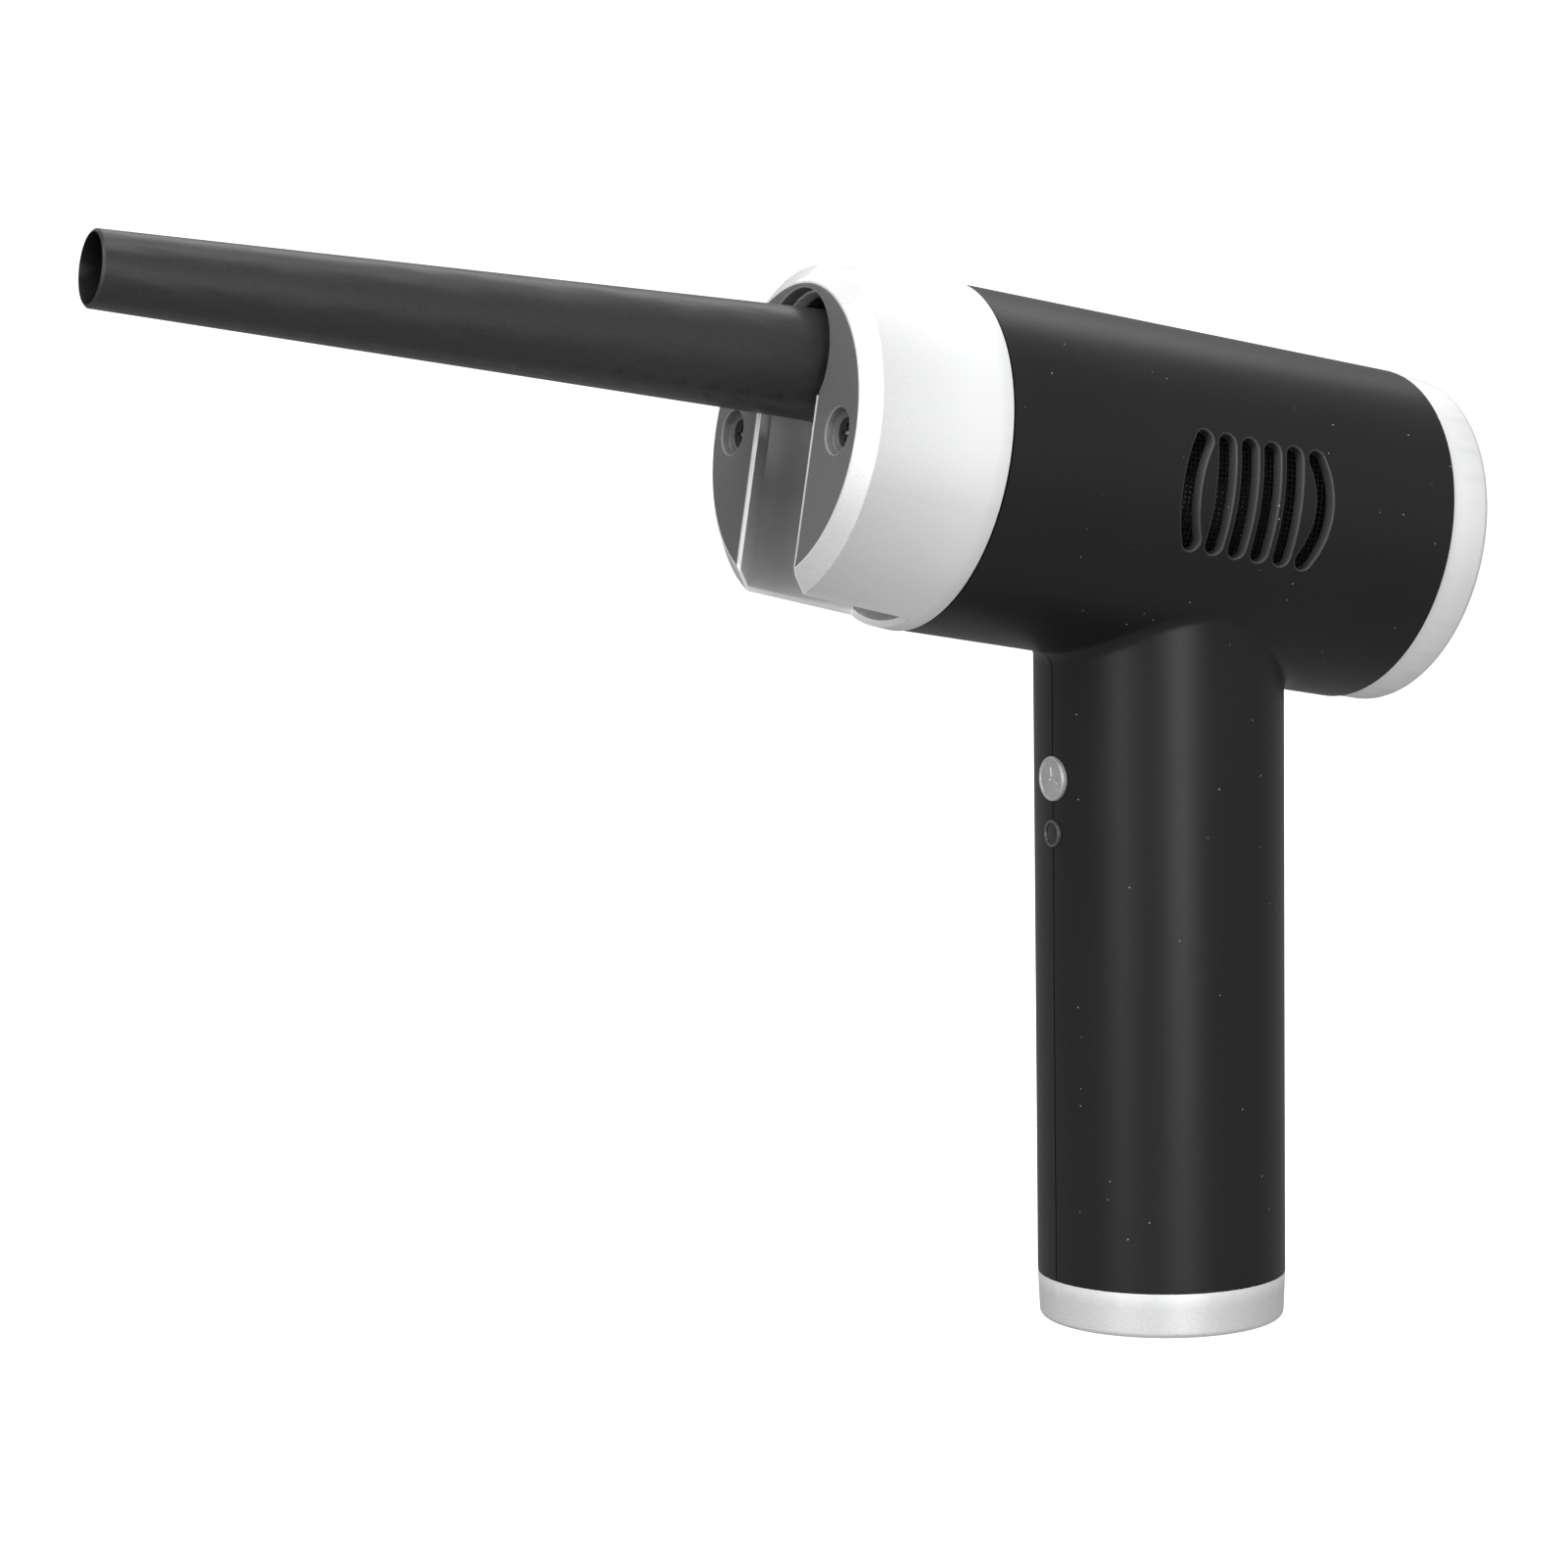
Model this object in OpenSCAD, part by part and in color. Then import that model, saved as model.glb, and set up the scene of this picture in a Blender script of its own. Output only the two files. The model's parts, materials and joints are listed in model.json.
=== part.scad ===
// Handheld cordless air blower with a nozzle that folds down into the head.
// Origin: centre of the handle's bottom face. +Z up the handle, +X the way the air blows.
// The two shell halves meet on the plane Y = 0.
// Inside barrel_frame() the barrel lies along local X, and local Z points out of its top.

/* [Barrel] */
// Nose-up tilt of the barrel axis, degrees
barrel_tilt = 9.6; // [4:0.1:14]
// Height at which the barrel axis crosses the handle axis
barrel_axis_z = 146.7; // [132:0.1:170]
// Outside diameter of the black barrel
barrel_d = 60.2; // [58:0.1:76]
// Wall thickness of both shell halves
shell_wall = 2.2; // [1.6:0.1:3]
// Distance from the handle axis forward to the joint with the head
barrel_front = 49.2; // [46:0.1:70]
// Distance from the handle axis back to the joint with the rear cap
barrel_rear = 42.8; // [40:0.1:60]
// Length of the spigots that the head and the rear cap slide over
spigot_len = 4.5; // [3:0.1:6]
// Depth of the step from the barrel down to its spigots
spigot_step = 1.6; // [1.2:0.1:2]
// Length of the rear cap
rear_cap_len = 8; // [6:0.1:14]
// How far the rear cap's side stands in from the barrel
rear_cap_step = 0.4; // [0:0.1:1]
// Radius of the rear cap's rounded edge
rear_cap_round = 1.2; // [0.5:0.1:2]

/* [Handle] */
// Wall thickness of the handle
handle_wall = 2.05; // [1.4:0.05:3]
// Clearance between the cells and the handle's bore
cell_clear = 0.37; // [0.2:0.01:6]
// Height of the bottom cap
bottom_cap_h = 8; // [7:0.1:12]
// Radius of the bottom cap's lower edge
bottom_cap_round = 1; // [0.5:0.1:1.4]
// Height of the power button's centre
button_z = 97.9; // [94:0.1:104]
// Diameter of the power button's cap
button_d = 8; // [6:0.1:9.5]
// How far the button travels inwards
button_travel = 0.6; // [0.3:0.05:0.8]
// Height of the indicator lens's centre
lens_z = 88.2; // [86:0.1:90]
// Diameter of the indicator lens
lens_d = 4.8; // [3:0.1:5]

/* [Intake vents] */
// Number of straight slots on each side, between the two curved ones
vent_count = 4; // [2:1:4]
// Distance between the straight slots
vent_pitch = 4.7; // [4.2:0.1:5.4]
// Width of each slot
vent_w = 3.3; // [2:0.1:3.6]
// Height of each slot from tip to tip
vent_h = 20.6; // [14:0.1:24]
// How far the outer slots bow outwards
vent_bow = 2.1; // [1:0.1:3]
// Distance from the handle axis to the middle of the slots
vent_s = -1; // [-6:0.1:4]

/* [Head] */
// How far the head stands proud of the barrel at the joint
head_proud = 0.25; // [0:0.05:0.6]
// Draft of the head: how much its radius shrinks before the chamfer
head_draft = 1.5; // [0:0.1:2.5]
// Length of the front chamfer along the barrel
chamfer_len = 2.5; // [1.5:0.1:4]
// Width of the bright ring round the face plate
face_ring = 3.35; // [1.5:0.05:6]
// Thickness of the face plate
plate_t = 2.4; // [2:0.1:3]
// Space between the nozzle's root and the arch that it comes out of
arch_gap = 2.475; // [1.8:0.025:3.5]
// Width of the face plate above the arch
arch_rim = 1.1; // [0.6:0.1:2]
// Clearance on each side of the folded nozzle in its channel
channel_gap = 0.125; // [0.1:0.025:0.6]
// Gap between the hinge carrier and the channel's back wall
carrier_gap = 1.275; // [0.5:0.025:8]
// Width of the head's bright rim beside the plate
channel_rim = 0.4; // [0.2:0.05:0.8]
// Distance of each screw well's middle in from the plate's edge
well_edge = 6.7; // [5.5:0.1:8]
// Diameter of the screw wells in the plate
well_d = 7.8; // [6:0.1:8]

/* [Nozzle] */
// How far the folded nozzle's root lies behind the plate's front
nozzle_inset = 3.675; // [2:0.025:6]
// Droop of the nozzle below the barrel axis when it is out, degrees
nozzle_droop = 2.7; // [0:0.1:5]
// Length of the nozzle from the fold axis to its tip
nozzle_len = 136.2; // [90:0.1:180]
// Outside diameter of the nozzle's drum and root
nozzle_root_d = 19.45; // [16:0.05:24]
// Outside diameter of the nozzle's tip
nozzle_tip_d = 12.4; // [9:0.1:15]
// Wall thickness at the nozzle's root
nozzle_root_wall = 1.9; // [1.2:0.1:2.4]
// Wall thickness at the nozzle's tip
nozzle_tip_wall = 1.1; // [0.8:0.1:2]
// Diameter of the fold axis's steel pins
pin_d = 4; // [3:0.1:5]

/* [Blower] */
// Diameter of the motor's can
motor_d = 28; // [22:0.1:35]
// Length of the motor's can
motor_len = 32; // [24:0.1:39]
// Distance from the handle axis to the motor's front end
motor_front = 14; // [12:0.1:14.5]
// Diameter of the motor's shaft
shaft_d = 3.2; // [2:0.1:4]
// Wall of the ring round the impeller
ring_wall = 3.8; // [1.5:0.1:6]
// Number of impeller blades
blade_count = 9; // [5:1:12]
// Number of fixed vanes behind the impeller
vane_count = 8; // [5:1:11]

/* [Battery] */
// Diameter of one cell
cell_d = 18.3; // [15:0.1:22]
// Length of one cell
cell_len = 65; // [60:0.5:66]

/* [Hidden] */

fine = 96;
small = 32;
eps = 0.02;

// Clearances: pieces glued or screwed together, pieces that run, and pieces that sweep past others
seat_gap = 0.1;
run_gap = 0.05;
sweep_gap = 0.3;

barrel_r = barrel_d / 2;
barrel_bore_r = barrel_r - shell_wall;
spigot_r = barrel_r - spigot_step;
spigot_bore_r = spigot_r - shell_wall;
spigot_land = 4;
joint_groove = 0.15;
rear_cap_r = barrel_r - rear_cap_step;

// The three cells stand in a triangle, and the handle is as slim as they allow
cell_r = cell_d / 2;
cell_gap = 0.1;
cell_circle_r = (cell_r + cell_gap) / cos(30);
handle_bore_r = cell_circle_r + cell_r + cell_clear;
handle_r = handle_bore_r + handle_wall;
handle_spigot_r = handle_r - spigot_step;
handle_spigot_wall = handle_wall - 0.2;
handle_spigot_bore_r = handle_spigot_r - handle_spigot_wall;
handle_spigot_low = bottom_cap_h - spigot_len;
handle_land = 2;
cap_floor = 2;
cap_taper = 0.3;

head_r = barrel_r + head_proud;
head_front_r = head_r - head_draft;
plate_r = head_front_r - face_ring;
head_wall = 2.2;
front_wall = 2.2;

// The head is as long as the hinge carrier, the channel's back wall and the folded nozzle need
carrier_back = 1.6;
nozzle_root_r = nozzle_root_d / 2;
nozzle_tip_r = nozzle_tip_d / 2;
tip_lip = 0.35;
carrier_s = barrel_front - carrier_back;
carrier_t = 2.2;
channel_wall = 1.7;
channel_half = nozzle_root_r + channel_gap;
channel_back = nozzle_root_r + seat_gap;
pivot_s = carrier_s + carrier_t + carrier_gap + channel_wall + channel_back;
face_s = pivot_s + nozzle_root_r + nozzle_inset;
chamfer_s = face_s - chamfer_len;
plate_seat_s = face_s - plate_t;
front_wall_s = plate_seat_s - front_wall;

arch_r = nozzle_root_r + arch_gap;
arch_n = plate_r - arch_rim - arch_r;
pivot_rise = 0.2;
pivot_up = arch_n + pivot_rise;
channel_drop = 0.475;
channel_top = pivot_up - nozzle_root_r - channel_drop;
plate_half = channel_half + channel_rim;
neck_drop = 3.7;
neck_top = arch_n - neck_drop;
neck_low = neck_top - 2;
well_y = plate_r - well_edge;

ledge_d = 5;
well_depth = 1.5;
screw_head_d = 4.5;
screw_head_h = 1.6;
screw_d = 2.5;
screw_seat_s = plate_seat_s - 1;
screw_len = 9;
post_r = 3.4;
pilot_r = screw_d / 2 + run_gap;
rib_y = 0.6;
rib_w = 5;
spring_t = 0.5;

carrier_r = spigot_bore_r - seat_gap;
cheek_in = arch_r + 0.1;
cheek_t = 3;
boss_r = 4.2;
drum_half = nozzle_root_r - 0.2;
boss_out = cheek_in - sweep_gap;
pin_r = pin_d / 2;
pin_recess = 0.5;
pin_in = nozzle_root_r - nozzle_root_wall + pin_recess;
outlet_up = pivot_up + (pivot_s - carrier_s) * tan(nozzle_droop);
outlet_r = nozzle_root_r - nozzle_root_wall - 0.4;
outlet_wall = 1.4;
seal_t = 1.8;
rib_up = outlet_up + outlet_r + outlet_wall + 0.4;
rib_h = 3;
seal_s = pivot_s - nozzle_root_r - sweep_gap;

mount_s = motor_front + 2;
mount_t = 2.5;
impeller_s = mount_s + mount_t + 2.5;
impeller_len = 10;
hub_r = 11;
hub_nose_r = 7;
blade_t = 1.1;
blade_pitch = 52;
shroud_gap = 0.5;
shroud_r = barrel_bore_r - seat_gap - ring_wall;
impeller_r = shroud_r - shroud_gap;
vane_s = impeller_s + impeller_len + 1.5;
vane_len = 8;
vane_t = 1.3;
vane_pitch = 12;
vane_hub_r = 11.5;
duct_s = vane_s + vane_len;

motor_r = motor_d / 2;
motor_back = motor_front - motor_len;
can_wall = 1;
shaft_r = shaft_d / 2;
magnet_r = 6;
air_gap = 0.4;
coil_r = motor_r - can_wall - 0.05;
bearing_r = 4.5;
bearing_t = 3.5;
shaft_front = vane_s - 0.5;
shaft_back = motor_back - 2;
nut_r = 3.2;
nut_h = 2.4;
screw_circle_r = 8;
mount_screw_r = 1;
spoke_w = 4;
cradle_t = 4;
cradle_r = motor_r + 2.5;
cradle_s = motor_back + 4;
driver_s = motor_back - 9;
driver_t = 1.6;
driver_r = barrel_bore_r - 1.5;
chip = [2.3, 6, 5];
chip_circle_r = 12;
capacitor_circle_r = 7;
capacitor_r = 2.6;
capacitor_h = 6;
lead_circle_r = 8.6;
lead_hole_r = 1.6;

screen_r = barrel_bore_r - seat_gap;
screen_t = 0.6;
screen_gap = 1.2;
screen_len = vent_pitch * (vent_count + 1) + 2 * vent_bow + vent_w + 2 * screen_gap;
screen_angle = 56;
mesh_hole = 1.6;
mesh_pitch = 3;
mesh_step = 5.5;
mesh_cols = 5;
mesh_rows = 4;

button_inset = 1.9;
plunger_len = 1.1;
tact_h = 2.8;
stem_back = handle_bore_r - button_inset;
tact_front = stem_back - plunger_len;
board_x = tact_front - tact_h - 1.4;
board_t = 1.4;
board_w = 18;
board_low = lens_z - 5;
board_high = button_z + 9;
tact_side = 6;
button_r = button_d / 2;
button_proud = 0.6;
button_flange_r = button_r + 0.8;
button_gap = 0.15;
button_flange_t = 0.9;
plunger_r = 1.7;
lens_r = lens_d / 2;
lens_proud = 0.45;
lens_flange_r = lens_r + 0.7;
led_h = 2.4;

tray_t = 2;
tab_t = 0.3;
charge_board_z = bottom_cap_h - 0.4;
charge_board_t = 1.2;
charge_board_r = handle_spigot_bore_r - 0.4;
tray_z = charge_board_z + charge_board_t + 2;
cell_z = tray_z + tray_t;
cell_top = cell_z + cell_len;
socket_w = 8.9;
socket_h = 3.3;
socket_wall = 0.4;
socket_tongue = 0.7;
socket_recess = 0.3;
lead_r = 0.9;
cell_angles = [180, 60, -60];
pole_r = 4;
pole_h = 1;
tray_hole_r = 5;

// ---- shared shapes ----

module barrel_frame() translate([0, 0, barrel_axis_z]) rotate([0, -barrel_tilt, 0]) children();

// A solid turned about local X from points [distance along X, radius]; its seam lies off the plane Y = 0
module turned(points, seam = 37) rotate([seam, 0, 0]) rotate([0, 90, 0])
    rotate_extrude($fn = fine) polygon([for (p = points) [p[1], p[0]]]);

// The same, turned through a half circle on the +Y side only
module half_turned(points) rotate([0, 90, 0]) rotate_extrude(angle = 180, $fn = fine)
    polygon([for (p = points) [p[1], p[0]]]);

// A round bar along local X between two distances
module bar_x(from, to, r, n = fine)
    translate([from, 0, 0]) rotate([0, 90, 0]) cylinder(h = to - from, r = r, $fn = n);

// A round bar along local Y between two distances
module bar_y(from, to, r, n = fine)
    translate([0, from, 0]) rotate([-90, 0, 0]) cylinder(h = to - from, r = r, $fn = n);

module at_pivot() translate([pivot_s, 0, pivot_up]) children();

module nozzle_frame() barrel_frame() at_pivot() rotate([0, nozzle_droop, 0]) children();

// The +Y piece as drawn, or its mirror image on the -Y side
module on_side(side) if (side > 0) children(); else mirror([0, 1, 0]) children();

// Arc points about [cx, cy], from angle a to angle b
function arc(cx, cy, r, a, b, steps = 6) =
    [for (i = [0:steps]) [cx + r * cos(a + (b - a) * i / steps), cy + r * sin(a + (b - a) * i / steps)]];

// ---- shells ----

// Outline of one slot in the plane of distance along the barrel and height. The centre line of a
// bowed slot is an arc about a point behind it, and both its ends are half round.
slot_half = vent_h / 2 - vent_w / 2;
bend_r = (slot_half * slot_half + vent_bow * vent_bow) / (2 * vent_bow);
bend_tip = asin(slot_half / bend_r);
straight_slot = concat(
    arc(0, slot_half, vent_w / 2, 0, 180), arc(0, -slot_half, vent_w / 2, 180, 360)
);
bowed_slot = [for (p = concat(
    arc(0, 0, bend_r + vent_w / 2, -bend_tip, bend_tip, 12),
    arc(bend_r * cos(bend_tip), slot_half, vent_w / 2, bend_tip + 15, bend_tip + 165),
    arc(0, 0, bend_r - vent_w / 2, bend_tip, -bend_tip, 12),
    arc(bend_r * cos(bend_tip), -slot_half, vent_w / 2, 195 - bend_tip, 345 - bend_tip)
)) p - [bend_r, 0]];

module vent_cut(at, outline, flip = false) translate([vent_s + at, 0, 0]) rotate([90, 0, 0])
    mirror([flip ? 1 : 0, 0, 0]) linear_extrude(height = 3 * barrel_r, center = true) polygon(outline);

module vents() {
    edge = vent_pitch * (vent_count + 1) / 2 + vent_bow;
    for (i = [0:vent_count - 1]) vent_cut((i - (vent_count - 1) / 2) * vent_pitch, straight_slot);
    vent_cut(edge, bowed_slot);
    vent_cut(-edge, bowed_slot, true);
}

module half_barrel() barrel_frame() half_turned([
    [-barrel_rear - spigot_len, 0], [-barrel_rear - spigot_len, spigot_r],
    [-barrel_rear + joint_groove, spigot_r], [-barrel_rear + joint_groove, barrel_r],
    [barrel_front - joint_groove, barrel_r], [barrel_front - joint_groove, spigot_r],
    [barrel_front + spigot_len, spigot_r], [barrel_front + spigot_len, 0],
]);

module barrel_hollow() barrel_frame() turned([
    [-barrel_rear - spigot_len - 1, 0], [-barrel_rear - spigot_len - 1, spigot_bore_r],
    [-barrel_rear + spigot_land, spigot_bore_r], [-barrel_rear + spigot_land, barrel_bore_r],
    [barrel_front - spigot_land, barrel_bore_r], [barrel_front - spigot_land, spigot_bore_r],
    [barrel_front + spigot_len + 1, spigot_bore_r], [barrel_front + spigot_len + 1, 0],
]);

module half_handle() rotate_extrude(angle = 180, $fn = fine) polygon([
    [0, handle_spigot_low], [handle_spigot_r, handle_spigot_low],
    [handle_spigot_r, bottom_cap_h + joint_groove], [handle_r, bottom_cap_h + joint_groove],
    [handle_r, barrel_axis_z], [0, barrel_axis_z],
]);

module handle_hollow() rotate(53) rotate_extrude($fn = fine) polygon([
    [0, handle_spigot_low - 1], [handle_spigot_bore_r, handle_spigot_low - 1],
    [handle_spigot_bore_r, bottom_cap_h + handle_land], [handle_bore_r, bottom_cap_h + handle_land],
    [handle_bore_r, barrel_axis_z], [0, barrel_axis_z],
]);

module shell_half() difference() {
    union() {
        half_barrel();
        half_handle();
    }
    barrel_hollow();
    handle_hollow();
    barrel_frame() translate([0, 0, -barrel_r - 5]) linear_extrude(height = barrel_r + 5)
        channel_plan(channel_half + channel_wall + seat_gap, channel_back + channel_wall + seat_gap);
    barrel_frame() vents();
    translate([0, 0, button_z]) bar_x(0, 2 * handle_r, button_r + button_gap, small);
    translate([0, 0, lens_z]) bar_x(0, 2 * handle_r, lens_r + run_gap, small);
}

module left_shell() color("#26272a") shell_half();
module right_shell() color("#26272a") on_side(-1) shell_half();

// ---- head ----

// The channel's plan: a flat end behind the fold axis, open to the front
module channel_plan(half, back)
    translate([pivot_s - back, -half]) square([face_s - pivot_s + back + 5, 2 * half]);

// The keyhole outline in the plane of the face: local X is across, local Y is up
module keyhole(half, top_r) {
    translate([0, arch_n]) circle(r = top_r, $fn = fine);
    polygon([
        [-half, -barrel_r - 5], [half, -barrel_r - 5], [half, neck_low],
        [sqrt(pow(top_r, 2) - pow(neck_drop, 2)), neck_top],
        [-sqrt(pow(top_r, 2) - pow(neck_drop, 2)), neck_top], [-half, neck_low],
    ]);
}

// Stands the keyhole up across the barrel between two distances
module keyhole_cut(from, to, half, top_r)
    translate([from, 0, 0]) rotate([90, 0, 90]) linear_extrude(height = to - from) keyhole(half, top_r);

module head_outside() turned([
    [barrel_front, 0], [barrel_front, head_r], [chamfer_s, head_front_r],
    [face_s, plate_r], [face_s, 0],
]);

module head_inside() turned([
    [barrel_front - 1, 0], [barrel_front - 1, spigot_r + seat_gap],
    [barrel_front + spigot_len + seat_gap, spigot_r + seat_gap],
    [barrel_front + spigot_len + seat_gap, head_r - head_wall - 0.6],
    [front_wall_s - 1, head_front_r - head_wall], [front_wall_s, head_front_r - head_wall - 1],
    [front_wall_s, 0],
]);

module front_head() color("#d9dadc") barrel_frame() difference() {
    union() {
        difference() {
            head_outside();
            head_inside();
            translate([plate_seat_s, 0, 0]) difference() {
                bar_x(0, plate_t + 1, plate_r - 0.35);
                translate([-1, -plate_half + seat_gap, -barrel_r - 5])
                    cube([plate_t + 3, 2 * (plate_half - seat_gap), barrel_r + 5 + neck_low - 0.5]);
            }
        }
        intersection() {
            translate([0, 0, -barrel_r - 5]) linear_extrude(height = barrel_r + 5 + channel_top)
                channel_plan(channel_half + channel_wall, channel_back + channel_wall);
            turned([
                [barrel_front, 0], [barrel_front, head_r - 0.6], [chamfer_s, head_front_r - 0.6],
                [plate_seat_s, plate_r], [plate_seat_s, 0],
            ]);
        }
        for (side = [-1, 1]) translate([0, side * well_y, 0])
            bar_x(screw_seat_s - 2.5, plate_seat_s - eps, post_r + 0.6, small);
    }
    translate([0, 0, -barrel_r - 5]) linear_extrude(height = barrel_r + 5 + channel_top + 1)
        channel_plan(channel_half, channel_back);
    keyhole_cut(front_wall_s - 1, face_s + 1, channel_half, arch_r - channel_rim / 2);
    for (side = [-1, 1]) translate([0, side * well_y, 0]) {
        bar_x(screw_seat_s, face_s + 1, ledge_d / 2, small);
        bar_x(screw_seat_s - 5, screw_seat_s + 1, screw_d / 2 + seat_gap, small);
    }
}

module face_plate() color("#66686b") barrel_frame() difference() {
    translate([plate_seat_s + seat_gap / 2, 0, 0]) bar_x(0, plate_t - seat_gap / 2, plate_r - 0.4);
    keyhole_cut(plate_seat_s - 1, face_s + 1, plate_half, arch_r);
    for (side = [-1, 1]) translate([0, side * well_y, 0]) {
        bar_x(face_s - well_depth, face_s + 1, well_d / 2, small);
        bar_x(plate_seat_s - 1, face_s, ledge_d / 2, small);
    }
}

module face_screws() color("#3a3b3d") barrel_frame() for (side = [-1, 1]) translate([0, side * well_y, 0])
    difference() {
        union() {
            bar_x(screw_seat_s, screw_seat_s + screw_head_h, screw_head_d / 2, small);
            bar_x(screw_seat_s - screw_len, screw_seat_s + eps, screw_d / 2, small);
        }
        for (turn = [0, 90]) rotate([turn, 0, 0])
            translate([screw_seat_s + screw_head_h - 0.8, -screw_head_d / 3, -0.3])
                cube([1, screw_head_d * 2 / 3, 0.6]);
    }

// ---- caps ----

module rear_cap() color("#d9dadc") barrel_frame() turned([
    [-barrel_rear, spigot_r + seat_gap], [-barrel_rear, rear_cap_r],
    each arc(-barrel_rear - rear_cap_len + rear_cap_round, rear_cap_r - rear_cap_round,
             rear_cap_round, 90, 180),
    [-barrel_rear - rear_cap_len, 0], [-barrel_rear - rear_cap_len + cap_floor, 0],
    [-barrel_rear - rear_cap_len + cap_floor, spigot_r + seat_gap],
]);

module socket_outline(w, h) {
    square([w - h, h], center = true);
    for (end = [-1, 1]) translate([end * (w - h) / 2, 0]) circle(d = h, $fn = small);
}

module bottom_cap() color("#d9dadc") difference() {
    rotate_extrude($fn = fine) polygon([
        [0, 0], each arc(handle_r - cap_taper - bottom_cap_round, bottom_cap_round, bottom_cap_round, -90, 0),
        [handle_r, bottom_cap_h], [handle_spigot_r + seat_gap, bottom_cap_h],
        [handle_spigot_r + seat_gap, cap_floor], [0, cap_floor],
    ]);
    translate([0, 0, -1]) rotate(90) linear_extrude(height = cap_floor + 2)
        socket_outline(socket_w + 2 * seat_gap, socket_h + 2 * seat_gap);
}

// ---- nozzle and its hinge ----

module nozzle_tube() color("#4a4b4d") nozzle_frame() difference() {
    union() {
        turned([
            [0, 0], [0, nozzle_root_r], [nozzle_len - tip_lip, nozzle_tip_r],
            [nozzle_len, nozzle_tip_r - tip_lip], [nozzle_len, 0],
        ]);
        rotate([0, 25, 0]) bar_y(-drum_half, drum_half, nozzle_root_r + eps);
        rotate([0, 40, 0]) bar_y(-boss_out, boss_out, boss_r, small);
    }
    turned([
        [-nozzle_root_r - 1, 0], [-nozzle_root_r - 1, nozzle_root_r - nozzle_root_wall],
        [0, nozzle_root_r - nozzle_root_wall], [nozzle_len + 1, nozzle_tip_r - nozzle_tip_wall],
        [nozzle_len + 1, 0],
    ]);
    for (side = [-1, 1]) on_side(side) bar_y(pin_in, boss_out + 1, pin_r + run_gap, small);
}

module hinge_pins() color("#b9bbbe") barrel_frame() at_pivot()
    for (side = [-1, 1]) on_side(side) bar_y(pin_in + 0.1, cheek_in + cheek_t, pin_r, small);

module hinge_carrier() color("#3c3d40") barrel_frame() difference() {
    union() {
        bar_x(carrier_s, carrier_s + carrier_t, carrier_r);
        for (side = [-1, 1]) on_side(side) {
            translate([carrier_s + eps, cheek_in, pivot_up - boss_r - 2])
                cube([pivot_s + boss_r + 1 - carrier_s, cheek_t, 2 * boss_r + 4]);
            translate([0, well_y, 0]) bar_x(carrier_s + eps, screw_seat_s - 2.6, post_r, small);
        }
        translate([carrier_s + eps, rib_y, rib_up])
            cube([plate_seat_s - front_wall - 1 - carrier_s, rib_w, rib_h]);
    }
    translate([0, 0, outlet_up])
        bar_x(carrier_s - 1, carrier_s + carrier_t + 1, outlet_r + outlet_wall + seat_gap);
    at_pivot() bar_y(-drum_half - sweep_gap, drum_half + sweep_gap, nozzle_root_r + sweep_gap);
    at_pivot() rotate([0, nozzle_droop, 0]) bar_x(0, 20, nozzle_root_r + sweep_gap);
    for (side = [-1, 1]) on_side(side) {
        at_pivot() bar_y(cheek_in - 1, cheek_in + cheek_t + 1, pin_r + seat_gap / 5, small);
        translate([0, well_y, 0]) bar_x(screw_seat_s - screw_len - 1, screw_seat_s, pilot_r, small);
    }
}

// Spring strip beside the carrier's top rib: it clicks on the nozzle's root
module detent_spring() color("#e8e9ea") barrel_frame()
    translate([carrier_s + carrier_t + seat_gap, rib_y + rib_w + seat_gap, rib_up + sweep_gap])
        cube([plate_seat_s - front_wall - 1 - carrier_s - carrier_t, spring_t, rib_h - sweep_gap]);

// Its upper half wraps over the drum; its lower half stops short, where the folded nozzle hangs
module outlet_seal() color("#1c1c1e") barrel_frame() difference() {
    translate([0, 0, outlet_up]) bar_x(seal_s - seal_t, pivot_s - 4, outlet_r + outlet_wall);
    translate([0, 0, outlet_up]) bar_x(seal_s - seal_t - 1, pivot_s, outlet_r);
    at_pivot() bar_y(-20, 20, nozzle_root_r + sweep_gap);
    at_pivot() translate([-nozzle_root_r - sweep_gap, -20, -40]) cube([40, 40, 40]);
}

// ---- blower ----

module skew_cone(from, to, r_from, r_to, up) hull() {
    bar_x(from, from + 0.1, r_from, small);
    translate([0, 0, up]) bar_x(to - 0.1, to, r_to, small);
}

module air_duct() color("#3c3d40") barrel_frame() difference() {
    union() {
        skew_cone(
            duct_s + seat_gap, carrier_s - seat_gap, shroud_r + outlet_wall, outlet_r + outlet_wall,
            outlet_up
        );
        translate([0, 0, outlet_up]) bar_x(carrier_s - 1, seal_s - seal_t - eps, outlet_r + outlet_wall);
    }
    skew_cone(duct_s + seat_gap - 0.2, carrier_s - 0.1, shroud_r, outlet_r, outlet_up);
    translate([0, 0, outlet_up]) bar_x(carrier_s - 2, seal_s + 1, outlet_r);
}

module vane_ring() color("#2e2f32") barrel_frame() {
    difference() {
        bar_x(impeller_s - 1, duct_s, barrel_bore_r - seat_gap);
        bar_x(impeller_s - 2, duct_s + 1, shroud_r);
    }
    difference() {
        turned([[vane_s, 0], [vane_s, vane_hub_r], [duct_s - 5, vane_hub_r], [duct_s, 4], [duct_s, 0]]);
        bar_x(vane_s - 1, vane_s + 3, shaft_r + 3, small);
    }
    intersection() {
        for (i = [0:vane_count - 1]) rotate([360 / vane_count * i, 0, 0])
            translate([vane_s + vane_len / 2 - 2, 0, (shroud_r + vane_hub_r) / 2]) rotate([0, 0, vane_pitch])
                cube([vane_len - 5, vane_t, shroud_r - vane_hub_r + 2], center = true);
        difference() {
            bar_x(vane_s, duct_s, shroud_r + 0.5);
            bar_x(vane_s - 1, duct_s + 1, vane_hub_r - 0.5);
        }
    }
}

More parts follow.
